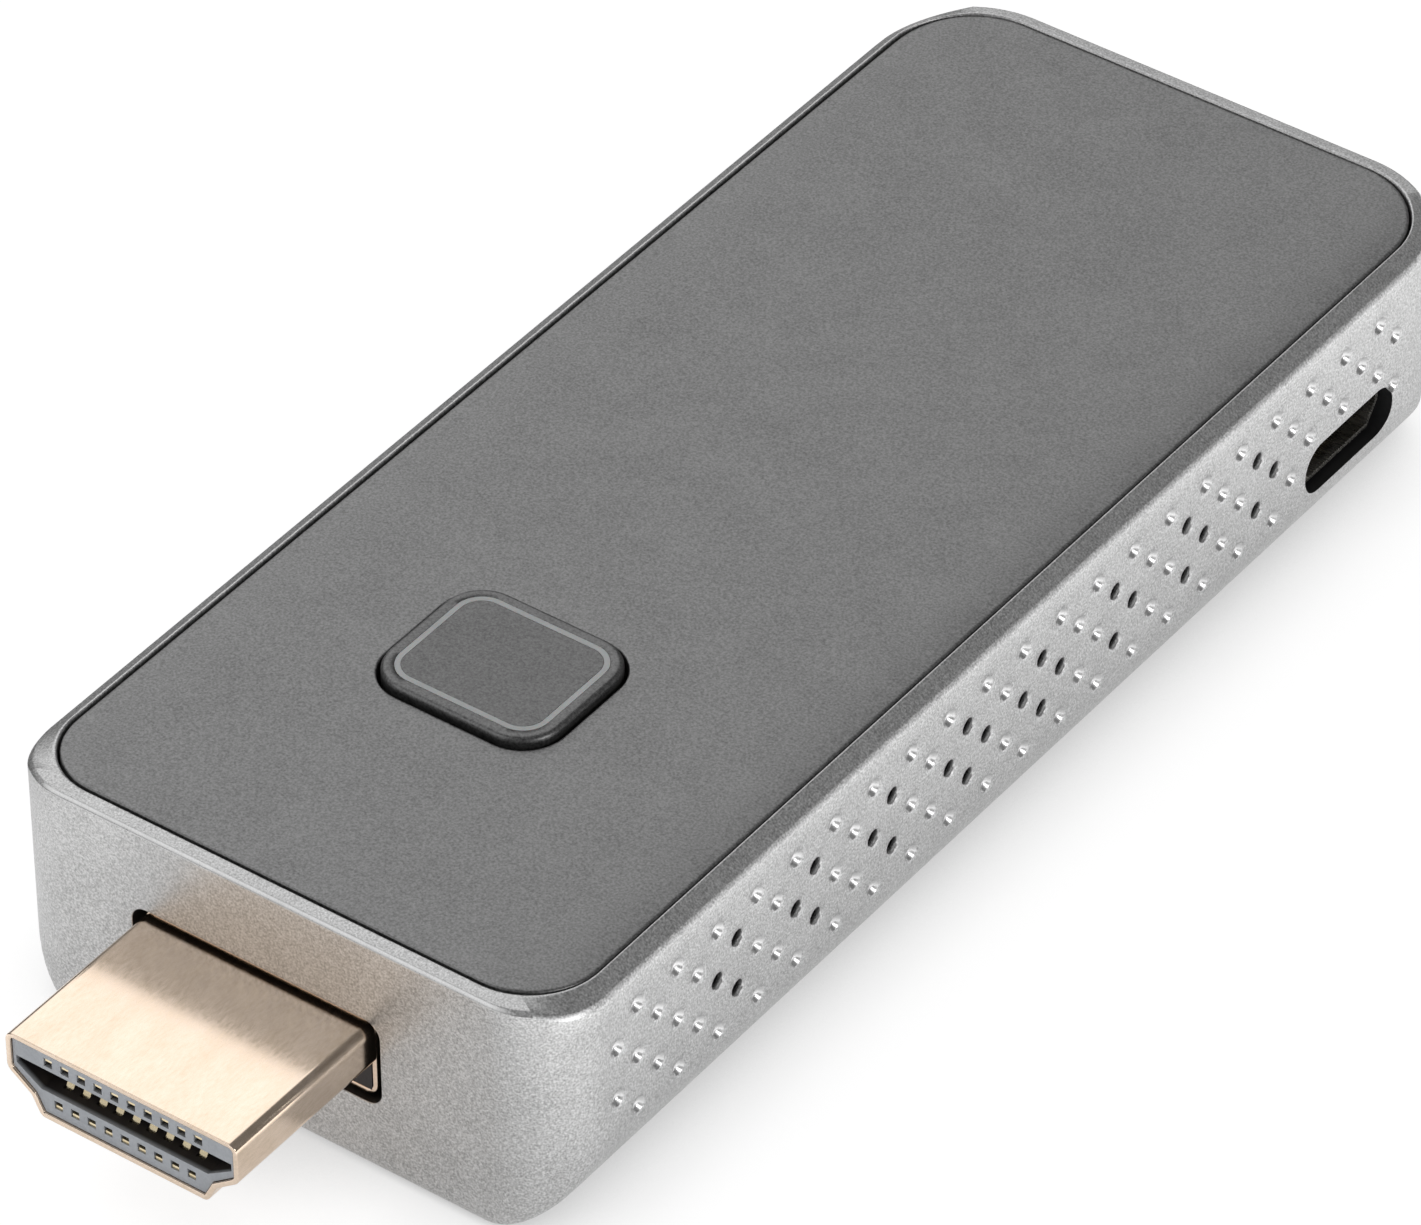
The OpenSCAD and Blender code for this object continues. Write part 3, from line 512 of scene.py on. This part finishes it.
def housingStations():
    sideYs = [ventFirstY + i * ventCell for i in range(ventColumns * vents["steps"] + 1)]
    corner = [(i + 1) / housing["cornerSteps"] for i in range(housing["cornerSteps"])]
    end = [2 * i / housing["endSteps"] - 1 for i in range(1, housing["endSteps"])]
    stations = []
    for way in (1, -1):
        stations += [("side", way, 0, y) for y in sideYs[::way]]
        stations += [("corner", way, way, t) for t in corner]
        stations += [("end", 0, way, -way * t) for t in end]
        stations += [("corner", -way, way, t) for t in reversed(corner)]
    return stations


# Where the belly's curve and the corner's arc meet, they blend into one round
def cutBack(half, limit, arcSink):
    power = housing["cornerPower"]
    return half - ((half - limit) ** power + arcSink ** power) ** (1 / power)


def planPoint(station, ring):
    kind, side, end, t = station
    half, front, back, frontRadius, backRadius, limit = ring
    if kind == "side":
        depth = max(front + frontRadius - t, 0)
        radius = frontRadius
        if t > back - backRadius:
            depth, radius = t - back + backRadius, backRadius
        return side * cutBack(half, limit, radius - math.sqrt(radius ** 2 - depth ** 2)), t
    radius = backRadius if end > 0 else frontRadius
    centreY = back - radius if end > 0 else front + radius
    if kind == "end":
        return t * cutBack(half, limit, radius), centreY + end * radius
    lastSideY = ventFirstY + ventColumns * vents["pitch"] if end > 0 else ventFirstY
    first = math.asin(min(max(end * (lastSideY - centreY) / radius, 0), 1))
    angle = first + (math.pi / 2 - first) * t
    x = cutBack(half, limit, radius * (1 - math.cos(angle)))
    return side * x, centreY + end * radius * math.sin(angle)


# Levels round the belly, from the flat to the band of vents
def bellyLevels(base, steps):
    radius = housing["bellyRadius"] - base
    last = math.asin((radius + base - ventBottom) / radius)
    angles = [math.pi / 2 + (last - math.pi / 2) * i / steps for i in range(steps)]
    return [base + radius * (1 - math.sin(angle)) for angle in angles]


# Each row has its ring, its level or how far it lies below the rim, and its share of the rim
def housingRows():
    bandLevels = [ventBottom + i * ventCell for i in range(vents["rows"] * vents["steps"] + 1)]
    outerLevels = bellyLevels(0, housing["bellySteps"]) + bandLevels
    rows = [(outerRing(level), level, None, None) for level in outerLevels]
    edge = rim["outerEdge"]
    for share, down in rim["outerRound"]:
        inward = share * edge / rim["sideWidth"]
        rows.append((rimRing(inward), None, down * edge, inward))
    for i in range(rim["steps"] + 1):
        share = rim["firstShare"] + rim["shareSpan"] * i / rim["steps"]
        rows.append((rimRing(share), None, 0, share))
    for inset, down in rim["innerRound"]:
        share = 1 - inset / rim["sideWidth"]
        rows.append((rimRing(share), None, down, share))
    ledge = housing["ledgeHeight"]
    rows.append((rimRing(1), ledge, None, None))
    innerLevels = bellyLevels(housing["wall"], housing["innerSteps"]) + bandLevels + [ledge]
    return rows + [(innerRing(level), level, None, None) for level in reversed(innerLevels)]


# Slanted lines of five places. Even and odd lines have through holes in other rows, and the
# other places are blind dimples
def ventPlaces(lastRows):
    places, firstCount = {}, len(vents["firstRows"])
    upper, middle, lower = vents["holeRows"]
    for k in range(-firstCount, vents["fullDiagonals"] + len(lastRows)):
        top = vents["firstRows"][k + firstCount] if k < 0 else 0
        past = k - vents["fullDiagonals"]
        bottom = vents["rows"] - 1 if past < 0 else lastRows[past]
        for i in range(top, bottom + 1):
            if k % 2 == 1:
                through = i == lower or (i == middle and k <= vents["switch"] + 1)
            else:
                through = i == upper or (i == middle and k >= vents["switch"])
            places[(2 * k + i, i)] = through and 0 < k <= vents["fullDiagonals"]
    return places


def ventCellOf(face):
    centre = face.calc_center_median()
    column = math.floor((centre.y - ventFirstY) / vents["pitch"]) - 1
    row = math.floor((ventTop - centre.z) / vents["pitch"])
    return column, row


def isVentFace(face, side, outside, places):
    centre, middle = face.calc_center_median(), halfWidth - housing["wall"] / 2
    return ((side * centre.x > middle) == outside and side * centre.x > middle - housing["wall"]
            and ventBottom < centre.z < ventTop and abs(face.normal.x) > vents["leastSideways"]
            and ventCellOf(face) in places and (outside or places[ventCellOf(face)]))


# Adds a ring inside each cell and moves it to a circle at this depth below the skin
def roundCells(bm, cells, radius, skinAt, depth):
    bmesh.ops.inset_individual(bm, faces=[cell[0] for cell in cells], thickness=vents["inset"],
                               use_even_offset=True)
    sector = 2 * math.pi / vents["sides"]
    for face, side, (column, row) in cells:
        centre = Vector((0, frontY + vents["start"] + column * vents["pitch"],
                         height - vents["drop"] - row * vents["pitch"]))
        for vert in face.verts:
            turn = math.atan2(vert.co.z - centre.z, vert.co.y - centre.y)
            turn = round(turn / sector) * sector
            y, z = centre.y + radius * math.cos(turn), centre.z + radius * math.sin(turn)
            vert.co = (side * (skinAt(z)[-1] - depth), y, z)


def makeVents(bm):
    for side, lastRows in ((1, vents["lastRowsRight"]), (-1, vents["lastRowsLeft"])):
        places = ventPlaces(lastRows)
        for skinAt, outside in ((outerRing, True), (innerRing, False)):
            merged = [face for face in bm.faces if isVentFace(face, side, outside, places)]
            made = bmesh.ops.dissolve_faces(bm, faces=merged, use_verts=False)
            cells = [(face, side, ventCellOf(face)) for face in made["region"]]
            lip = vents["lipDrop"] if outside else 0
            if outside:
                roundCells(bm, cells, vents["lip"], skinAt, 0)
            roundCells(bm, cells, vents["radius"], skinAt, lip)
            if outside:
                dimples = [cell for cell in cells if not places[cell[2]]]
                for reach, depth in vents["dimple"]:
                    roundCells(bm, dimples, reach, skinAt, lip + depth)
                openCells = [cell for cell in cells if places[cell[2]]]
                for drop in (vents["throatDrop"], vents["sprayReach"]):
                    roundCells(bm, openCells, vents["throat"], skinAt, drop)
                openOuter = {cell[2]: cell[0] for cell in openCells}
            else:
                openInner = {cell[2]: cell[0] for cell in cells}
        rims = [(list(openOuter[key].edges), list(openInner[key].edges)) for key in openOuter]
        bmesh.ops.delete(bm, geom=[*openOuter.values(), *openInner.values()], context="FACES_ONLY")
        for outerRim, innerRim in rims:
            bmesh.ops.bridge_loops(bm, edges=outerRim + innerRim)


def softenOpening(piece, isEdge, width, leastTurn=1):
    bm = bmesh.new()
    bm.from_mesh(piece.data)
    bmesh.ops.remove_doubles(bm, verts=bm.verts, dist=doubled * mm)
    found = [e for e in bm.edges if len(e.link_faces) == 2 and e.calc_face_angle() > leastTurn
             and all(isEdge(v.co / mm) for v in e.verts)]
    bmesh.ops.bevel(bm, geom=found, offset=width * mm, affect="EDGES", segments=2, profile=0.5,
                    material=-1, clamp_overlap=False)
    bm.to_mesh(piece.data)
    bm.free()


# Spray covers the outer skin: deeper faces are bare dark moulding; dimple bowls and hole walls take a
# lighter, smoother metal, which is partly painted highlight
def dressHousing(piece):
    for finish in ("blackMoulding", "paintedHighlightMetal"):
        piece.data.materials.append(materials[finish])
    bare, paintedHighlight = 1, 2
    for polygon in piece.data.polygons:
        x, y, z = polygon.center / mm
        ring = outerRing(min(max(z, 0), height))
        depth = -max(roundedDistance(x, y, ring), abs(x) - ring[-1])
        if housing["bareDepth"] < z <= housing["ledgeHeight"] + doubled:
            if depth > housing["bareDepth"]:
                polygon.material_index = bare
            # Painted highlight: dimple bowls and hole walls in the vent band take the lighter metal
            elif depth > vents["cutDepth"] and ventBottom < z < ventTop:
                polygon.material_index = paintedHighlight
        # Painted highlight: the rim's outer edge takes the lighter metal where it faces the front or
        # back
        elif (z > height - paintedHighlightStrip["height"] and paintedHighlightStrip["from"] < depth < paintedHighlightStrip["to"]
              and abs(polygon.normal.x) < paintedHighlightStrip["mostSideways"]
              and abs(polygon.normal.y) > paintedHighlightStrip["leastEndways"]):
            polygon.material_index = paintedHighlight


# Bosses that carry the board, bored for its screws
def bossMesh(x, y):
    boardUnder = boxOf("main_board")[0].z
    outer, inner = bosses["width"] / 2, bosses["pilot"] / 2
    bottom, root = boardUnder - bosses["depth"], housing["wall"] - bosses["root"]
    profile = [(0, root), (outer, root), (outer, boardUnder), (inner, boardUnder), (inner, bottom),
               (0, bottom)]

    def place(column, row):
        turn = 2 * math.pi * column / bosses["steps"]
        reach, level = profile[row]
        return Vector((x + reach * math.cos(turn), y + reach * math.sin(turn), level))

    return sweptGrid(bosses["steps"], len(profile), place)


def makeHousing():
    stations, rows = housingStations(), housingRows()

    def place(column, row):
        ring, level, below, share = rows[row]
        x, y = planPoint(stations[column], ring)
        return Vector((x, y, rimLevel(stations[column], share) - below if level is None else level))

    bm = sweptGrid(len(stations), len(rows), place)
    closeEnds(bm)
    faceOutward(bm)
    makeVents(bm)
    piece = meshObject(bm, "silverHousing")

    plugZ = (plugLow.z + plugHigh.z) / 2
    holeWidth = plugHigh.x - plugLow.x + 2 * plugHole["gapWidth"]
    holeHeight = plugHigh.z - plugLow.z + 2 * plugHole["gapHeight"]
    hole = prism(roundedBox(holeWidth, holeHeight, (plugX, plugZ), plugHole["radius"],
                            plugHole["steps"]),
                 frontY - toolReach, frontY + housing["wall"] + toolReach, "y")
    slotWidth = socketHigh.z - socketLow.z + 2 * socketSlot["gap"]
    socketY, socketZ = (socketLow.y + socketHigh.y) / 2, (socketLow.z + socketHigh.z) / 2
    slotLength = socketSlot["shellLength"] + 2 * socketSlot["gap"]
    slot = prism(roundedBox(slotLength, slotWidth, (socketY, socketZ),
                            slotWidth / 2 - socketSlot["endFlat"], socketSlot["steps"]),
                 halfWidth - socketSlot["depth"], halfWidth + toolReach, "x")
    labelSize, labelMiddle = labelHigh - labelLow, (labelHigh + labelLow) / 2
    gap = labelRecess["gap"]
    recess = prism(roundedBox(labelSize.x + 2 * gap, labelSize.y + 2 * gap, labelMiddle.xy,
                              labelRecess["radius"], labelRecess["steps"]),
                   -toolReach, labelHigh.z, "z")
    cutAway(piece, [meshObject(hole, "plugHole"), meshObject(slot, "socketSlot"),
                    meshObject(recess, "labelRecess")])
    near = plugHole["edge"]

    def isHoleEdge(point):
        return (abs(point.y - frontY) < 2 * doubled and abs(point.x - plugX) < holeWidth / 2 + near
                and abs(point.z - plugZ) < holeHeight / 2 + near)

    softenOpening(piece, isHoleEdge, near)
    screwLow, screwHigh = boxOf("board_screws")
    headRadius = bosses["screwHeadRadius"]
    bm = bmesh.new()
    bm.from_mesh(piece.data)
    for x in (screwLow.x + headRadius, screwHigh.x - headRadius):
        for y in (screwLow.y + headRadius, screwHigh.y - headRadius):
            boss = bossMesh(x, y)
            faceOutward(boss)
            bmesh.ops.scale(boss, vec=(mm, mm, mm), verts=boss.verts)
            joinMesh(bm, boss)
    bm.to_mesh(piece.data)
    bm.free()
    creases, creaseTurn = [], rim["creaseColumn"] / housing["cornerSteps"]
    for station in stations:
        if station[0] == "corner" and station[3] == creaseTurn:
            creases += [Vector(planPoint(station, row[0])) for row in rows if row[3] is not None]

    def isCrease(first, last):
        return (min(first.z, last.z) > height - rim["creaseReach"]
                and all(any((end.xy - spot).length < rim["creaseNear"] for spot in creases)
                        for end in (first, last)))

    finishPiece(piece, "housing", "silverSpray", sharpAngle=45,
                isCrease=isCrease)
    dressHousing(piece)


makeHousing()


# Push button, above the plunger: flangeRise and stemGap are measured from the plunger's top
button = {"width": 10.3, "length": 8.8, "radius": 2.2, "softEdge": 0.28, "lip": 0.75,
          "softAngles": (0, 18, 36, 54, 72, 90), "flangeRise": 0.62, "flangeThickness": 0.7,
          "ringInset": 0.68, "ringWidth": 0.3, "ringDepth": 0.6, "fineEdge": 0.03, "cornerSteps": 10,
          "stem": 3.0, "stemGap": 0.03, "stemSides": 32}

# Inlaid cover: rings from its edge to the button opening, down the collar and back underneath.
# Side and end values place more columns along the straights
cover = {"gap": 0.13, "thickness": 1.2, "edge": 0.09, "rollWidth": 4.2, "rollDrop": 0.08,
         "softWidth": 2.2, "softDrop": 0.1, "crown": 0.05, "collarWall": 0.9, "openingGap": 0.2,
         "edgeInsets": (0.2, 0.3, 0.4, 0.5, 0.8, 1.2, 1.7, 2.2, 2.8, 3.5, 4.2),
         "openingInsets": (1.5, 0.3, 0.15), "leastRadius": 0.3, "cornerSteps": 12, "openingSteps": 8,
         "sideStart": 6, "sidePitch": 3, "sideCount": 22, "endReach": 11, "endPitch": 2}


def pointOnRing(centre, angle, ring):
    near, far, halvings = 0, 120, 48
    for _ in range(halvings):
        reach = (near + far) / 2
        x, y = centre[0] + reach * math.cos(angle), centre[1] + reach * math.sin(angle)
        if roundedDistance(x, y, ring) < 0:
            near = reach
        else:
            far = reach
    return x, y


def makeCover():
    side, end = rim["sideWidth"] + cover["gap"], rim["endWidth"] + cover["gap"]
    frontRadius, backRadius = rim["frontRadius"] - cover["gap"], housing["backRadius"] - side
    capMiddle = (capHigh + capLow) / 2
    capWidth, capLength, capRadius = button["width"], button["length"], button["radius"]
    gap, least = cover["openingGap"], cover["leastRadius"]

    def edgeRing(inset):
        return (halfWidth - side - inset, frontY + end + inset, backY - end - inset,
                max(frontRadius - inset, least), max(backRadius - inset, least))

    def openingRing(grow):
        reach = gap + grow
        return (capWidth / 2 + reach, -capLength / 2 - reach, capLength / 2 + reach,
                capRadius + reach, capRadius + reach)

    def rollOff(x):
        drop = 0
        for width, depth in (("rollWidth", "rollDrop"), ("softWidth", "softDrop")):
            share = max(abs(x) - (halfWidth - side - cover[width]), 0) / cover[width]
            drop += cover[depth] * min(share, 1) ** 2
        return drop

    top, under = coverHigh.z + cover["crown"], coverHigh.z - cover["thickness"]
    edge, middle = cover["edge"], cover["edge"] * roundMiddle
    rows = [("edge", 0, under), ("edge", 0, top - edge), ("edge", middle, top - middle)]
    rows += [("edge", inset, top) for inset in (edge, *cover["edgeInsets"])]
    rows += [("opening", grow, top) for grow in (*cover["openingInsets"], edge)]
    rows += [("opening", middle, top - middle), ("opening", 0, top - edge), ("opening", 0, coverLow.z),
             ("opening", cover["collarWall"], coverLow.z), ("opening", cover["collarWall"], under)]

    centre = (capMiddle.x, capMiddle.y)
    outline = roundedCorners(
        [(-halfWidth + side, frontY + end), (halfWidth - side, frontY + end),
         (halfWidth - side, backY - end), (-halfWidth + side, backY - end)],
        [frontRadius] * 2 + [backRadius] * 2, cover["cornerSteps"])
    outline += [Vector((sx * (halfWidth - side), frontY + cover["sideStart"] + i * cover["sidePitch"]))
                for sx in (-1, 1) for i in range(cover["sideCount"])]
    reach = cover["endReach"]
    outline += [Vector((x, y)) for y in (frontY + end, backY - end)
                for x in range(-reach, reach + 1, cover["endPitch"])]
    outline += [Vector(centre) + point for point in roundedBox(
        capWidth + 2 * gap, capLength + 2 * gap, (0, 0), capRadius + gap, cover["openingSteps"])]
    angles = sorted({round(math.atan2(p.y - centre[1], p.x - centre[0]), 4) for p in outline})

    def place(column, row):
        kind, inset, level = rows[row]
        if kind == "edge":
            x, y = pointOnRing(centre, angles[column], edgeRing(inset))
            if level > under:
                level -= rollOff(x)
        else:
            x, y = pointOnRing((0, 0), angles[column], openingRing(inset))
            x, y = x + centre[0], y + centre[1]
        return Vector((x, y, level))

    bm = sweptGrid(len(angles), len(rows), place, closedSection=True)
    faceOutward(bm)
    finishPiece(meshObject(bm, "inlaidCover"), "top_cover", "gunmetalSpray")


makeCover()


# Soft-edged cap with the groove for its light ring, flange and stem below
def makeButton():
    top, middle = capHigh.z, (capHigh + capLow) / 2
    plungerTop = boxOf("button_switch_plunger")[1].z
    groove, width, fine = button["ringInset"], button["ringWidth"], button["fineEdge"]
    bottom = top - button["ringDepth"]
    section = [(groove + width + fine, top), (groove + width, top - fine), (groove + width, bottom),
               (groove, bottom), (groove, top - fine), (groove - fine, top)]
    soft = button["softEdge"]
    section += [(soft - soft * math.sin(turn), top - soft + soft * math.cos(turn))
                for turn in map(math.radians, button["softAngles"])]
    flangeUnder = plungerTop + button["flangeRise"]
    flangeTop = flangeUnder + button["flangeThickness"]
    section += [(0, flangeTop), (-button["lip"], flangeTop), (-button["lip"], flangeUnder)]
    corners = rectangle(button["width"], button["length"], (middle.x, middle.y))
    rings = [roundedCorners(insetCorners(corners, inset), [button["radius"] - inset] * 4,
                            button["cornerSteps"]) for inset, _ in section]

    def place(column, row):
        point = rings[row][column]
        return Vector((point.x, point.y, section[row][1]))

    bm = sweptGrid(len(rings[0]), len(section), place)
    closeEnds(bm)
    stemUnder, stemRadius = plungerTop + button["stemGap"], button["stem"] / 2
    stemMiddle = Matrix.Translation((middle.x, middle.y, (flangeUnder + stemUnder) / 2))
    bmesh.ops.create_cone(bm, cap_ends=True, segments=button["stemSides"], radius1=stemRadius,
                          radius2=stemRadius, depth=flangeUnder - stemUnder, matrix=stemMiddle)
    faceOutward(bm)
    finishPiece(meshObject(bm, "pushButtonCap"), "button_cap",
                "gunmetalButton", body="button")


makeButton()


# Plug shell and sleeve: folded sheet with round bends and a softly rolled front edge
plug = {"sheet": 0.3, "sideDrop": 2.3, "shoulder": (5.55, 3.35), "foot": 5.0, "topBend": 0.55,
        "sideBend": 0.6, "footBend": 0.4, "lip": 0.07, "bendSteps": 6}


def sheetTube(outlineAt, frontEdge, backEdge, sheet, lip):
    middle = lip * roundMiddle
    section = [(backEdge, 0), (frontEdge + lip, 0), (frontEdge + middle, middle), (frontEdge, lip),
               (frontEdge, sheet - lip), (frontEdge + middle, sheet - middle), (frontEdge + lip, sheet),
               (backEdge, sheet)]
    rings = [outlineAt(inset) for _, inset in section]

    def place(column, row):
        point = rings[row][column]
        return Vector((point.x, section[row][0], point.y))

    bm = sweptGrid(len(rings[0]), len(section), place, closedSection=True)
    faceOutward(bm)
    return bm


def makePlug():
    top, bottom, half = plugHigh.z, plugLow.z, (plugHigh.x - plugLow.x) / 2
    shoulderX, shoulderDrop = plug["shoulder"]
    right = [(plug["foot"], bottom - top), (shoulderX, -shoulderDrop), (half, -plug["sideDrop"]),
             (half, 0)]
    corners = [Vector((plugX + x, top + z)) for x, z in right]
    corners += [Vector((plugX - x, top + z)) for x, z in reversed(right)]
    bends = [plug["footBend"], plug["footBend"], plug["sideBend"], plug["topBend"]]
    bends += list(reversed(bends))

    def shellOutline(inset):
        return roundedCorners(insetCorners(corners, inset), [bend - inset for bend in bends],
                              plug["bendSteps"])

    bm = sheetTube(shellOutline, plugLow.y, plugHigh.y, plug["sheet"], plug["lip"])
    finishPiece(meshObject(bm, "foldedPlugShell"), "plug_front_shell", "paleGold")


makePlug()


# Sleeve round the back of the insert: a folded box with a foot on each side of the board
sleeve = {"height": 4.85, "bend": 0.7, "tabHeight": 1.3, "tabRise": 0.48, "tabLength": 3.0,
          "tabOverlap": 0.05, "lip": 0.06}


def makeSleeve():
    width, z = sleeveHigh.x - sleeveLow.x, (sleeveLow.z + sleeveHigh.z) / 2
    backEdge = sleeveHigh.y - sleeve["tabLength"]

    def outline(inset):
        return roundedBox(width - 2 * inset, sleeve["height"] - 2 * inset, (plugX, z),
                          sleeve["bend"] - inset, plug["bendSteps"])

    bm = sheetTube(outline, sleeveLow.y, backEdge, plug["sheet"], sleeve["lip"])
    tabMiddle = z - sleeve["tabRise"] + sleeve["tabHeight"] / 2
    tab = rectangle(plug["sheet"], sleeve["tabHeight"], (0, tabMiddle))
    for side in (-1, 1):
        shift = Vector((plugX + side * (width - plug["sheet"]) / 2, 0))
        joinMesh(bm, prism([point + shift for point in tab], backEdge - sleeve["tabOverlap"],
                           sleeveHigh.y, "y"))
    finishPiece(meshObject(bm, "foldedRearSleeve"), "plug_rear_shell", "paleGold")


makeSleeve()


# Contacts of the plug: bent strips whose tips end just inside the face and bow into the mouth
contacts = {"width": 0.44, "thickness": 0.2, "pitch": 1.0, "tip": 0.22, "rise": 0.72, "top": 1.4,
            "end": 4.4, "bow": 1.1, "footLength": 1.2}
contactRows = {
    "plug_upper_contacts": {"count": 10, "run": 0.8, "toward": -1, "name": "upperPlugContacts"},
    "plug_lower_contacts": {"count": 9, "run": 3.54, "toward": 1, "name": "lowerPlugContacts"}}


def stripOutline(path, thickness):
    points = [Vector(point) for point in path]
    ways = [(after - before).normalized() for before, after in zip(points, points[1:])]
    shifts = [mitre(*pair) for pair in zip(ways[:1] + ways, ways + ways[-1:])]
    sides = [[point + shift * side * thickness / 2 for point, shift in zip(points, shifts)]
             for side in (1, -1)]
    return sides[0] + sides[1][::-1]


def makeContacts(node, row):
    tipY, run = plugLow.y, plugHigh.z - row["run"]
    tailY = boxOf(node)[1].y - contacts["footLength"]
    boardLow, boardHigh = boxOf("main_board")
    half = contacts["thickness"] / 2
    footZ = boardHigh.z + half if row["toward"] < 0 else boardLow.z - half
    path = [(tipY + contacts["tip"], run), (tipY + contacts["rise"], run),
            (tipY + contacts["top"], run + row["toward"] * contacts["bow"]),
            (tipY + contacts["end"], run), (tailY, run), (tailY, footZ),
            (tailY + contacts["footLength"], footZ)]
    bm = bmesh.new()
    outline, width = stripOutline(path, contacts["thickness"]), contacts["width"]
    for n in range(row["count"]):
        x = plugX + (n - (row["count"] - 1) / 2) * contacts["pitch"]
        joinMesh(bm, prism(outline, x - width / 2, x + width / 2, "x"))
    finishPiece(meshObject(bm, row["name"]), node, "contactGold", sharpAngle=40)


for node, row in contactRows.items():
    makeContacts(node, row)


# Paper, room and lamp. Tone and glow change with the reach, in spreads from the middle: the paper is
# painted darker and dimmer near the part, a painted shadow that the metal mirrors
stage = {"floorSize": 6000, "seenColour": "#7c7c7c", "seenGlow": 0.93, "paintedShadeNearColour": "#dcdcdc",
         "farColour": "#fafafa", "paintedShadeNearGlow": 0.38, "farGlow": 1.15, "paintedLeftShadeColour": "#707070",
         "sideReach": (-50, -28), "spread": (16.7, 44.35, 1), "middle": (2.2, 0, 0),
         "toneReach": (0.95, 2.0), "glowReach": (0.7, 3.6), "room": "#6a6a6a", "strength": 1.3,
         "shadeReach": 6.0, "shadePower": 2.0, "shadeSamples": 8, "shade": 0.65}
# Bright sheets that the metal mirrors: one wide, behind on the left, the other in front
sheets = {"back": {"way": (-0.62, 0.42, 0.66), "inner": 0.93, "outer": 0.84, "glow": 1.05},
          "front": {"way": (-0.5, -0.64, 0.58), "inner": 0.97, "outer": 0.84, "glow": 0.9}}
lamp = {"way": (0.9, -0.05, 0.37), "distance": 1.0, "size": 0.25, "watts": 2.5}


def makeFloor():
    bm = bmesh.new()
    bmesh.ops.create_grid(bm, x_segments=1, y_segments=1, size=stage["floorSize"] / 2)
    floor = meshObject(bm, "paleFloor")
    material = bpy.data.materials.new("palePaper")
    tree = emptyTree(material)
    path = addNode(tree, "LightPath")
    place = addNode(tree, "TexCoord").outputs["Object"]
    scales = [patternScale(size) for size in stage["spread"]]
    shift = [-middle * mm * scale for middle, scale in zip(stage["middle"], scales)]
    shares = addNode(tree, "Mapping", {"Vector": place, "Location": shift, "Scale": scales})
    reach = addNode(tree, "VectorMath", {0: shares.outputs[0]}, operation="LENGTH")

    def softRange(value, low, high, bottom=0, top=1):
        return mapRange(tree, value, low, high, bottom, top, interpolation_type="SMOOTHSTEP")

    # Painted shadow: the metal mirrors a sheet that runs darker and dimmer near the part and brighter
    # away from it
    away = reach.outputs["Value"]
    tone = mixColours(tree, softRange(away, *stage["toneReach"]), linearColour(stage["paintedShadeNearColour"]),
                      linearColour(stage["farColour"]))
    glow = softRange(away, *stage["glowReach"], stage["paintedShadeNearGlow"], stage["farGlow"])

    # Painted shade: far out on the left the paper runs darker and dimmer, so the left rim mirrors it
    # darker
    axes = addNode(tree, "SeparateXYZ", {"Vector": place})
    outsideLeftShade = softRange(axes.outputs["X"], *[limit * mm for limit in stage["sideReach"]])
    tone = mixColours(tree, outsideLeftShade, linearColour(stage["paintedLeftShadeColour"]), tone)
    glow = combine(tree, "MULTIPLY", glow, outsideLeftShade)

    def paper(colour, strength):
        matte = addNode(tree, "BsdfDiffuse", {"Color": colour})
        shine = addNode(tree, "Emission", {"Strength": strength})
        return addNode(tree, "AddShader", {0: matte.outputs[0], 1: shine.outputs[0]}).outputs[0]

    # The camera sees nearly white paper with a light shadow that deepens towards the part
    free = addNode(tree, "AmbientOcclusion", {"Distance": stage["shadeReach"] * mm},
                   samples=stage["shadeSamples"])
    covered = combine(tree, "SUBTRACT", 1.0, free.outputs["AO"])
    deepened = combine(tree, "POWER", covered, stage["shadePower"])
    shaded = combine(tree, "MULTIPLY_ADD", deepened, -stage["shade"], stage["seenGlow"])
    both = addNode(tree, "MixShader",
                   {0: path.outputs["Is Camera Ray"], 1: paper(tone, glow),
                    2: paper(linearColour(stage["seenColour"]), shaded)})
    addNode(tree, "OutputMaterial", {"Surface": both.outputs[0]})
    floor.data.materials.append(material)


def makeWorld():
    world = bpy.data.worlds.new("softRoom")
    bpy.context.scene.world = world
    tree = emptyTree(world)
    way = addNode(tree, "TexCoord").outputs["Generated"]
    room = linearColour(stage["room"])
    for sheet in sheets.values():
        near = addNode(tree, "VectorMath", {0: way, 1: Vector(sheet["way"]).normalized()},
                       operation="DOT_PRODUCT")
        share = mapRange(tree, near.outputs["Value"], sheet["outer"], sheet["inner"],
                         interpolation_type="SMOOTHSTEP")
        room = mixColours(tree, share, room, (*[sheet["glow"]] * 3, 1))
    path = addNode(tree, "LightPath")
    seen = mixColours(tree, path.outputs["Is Camera Ray"], room, (1, 1, 1, 1))
    glow = addNode(tree, "Background", {"Color": seen, "Strength": stage["strength"]})
    addNode(tree, "OutputWorld", {"Surface": glow.outputs[0]})


def makeLamp(look):
    data = bpy.data.lights.new("sideLamp", "AREA")
    data.shape = "DISK"
    data.size = look["size"]
    data.energy = look["watts"]
    made = newObject("sideLamp", data)
    way = Vector(look["way"]).normalized()
    made.location = way * look["distance"]
    made.rotation_euler = way.to_track_quat("Z", "Y").to_euler()


makeFloor()
makeWorld()
makeLamp(lamp)
print("paper, room and lamp made")
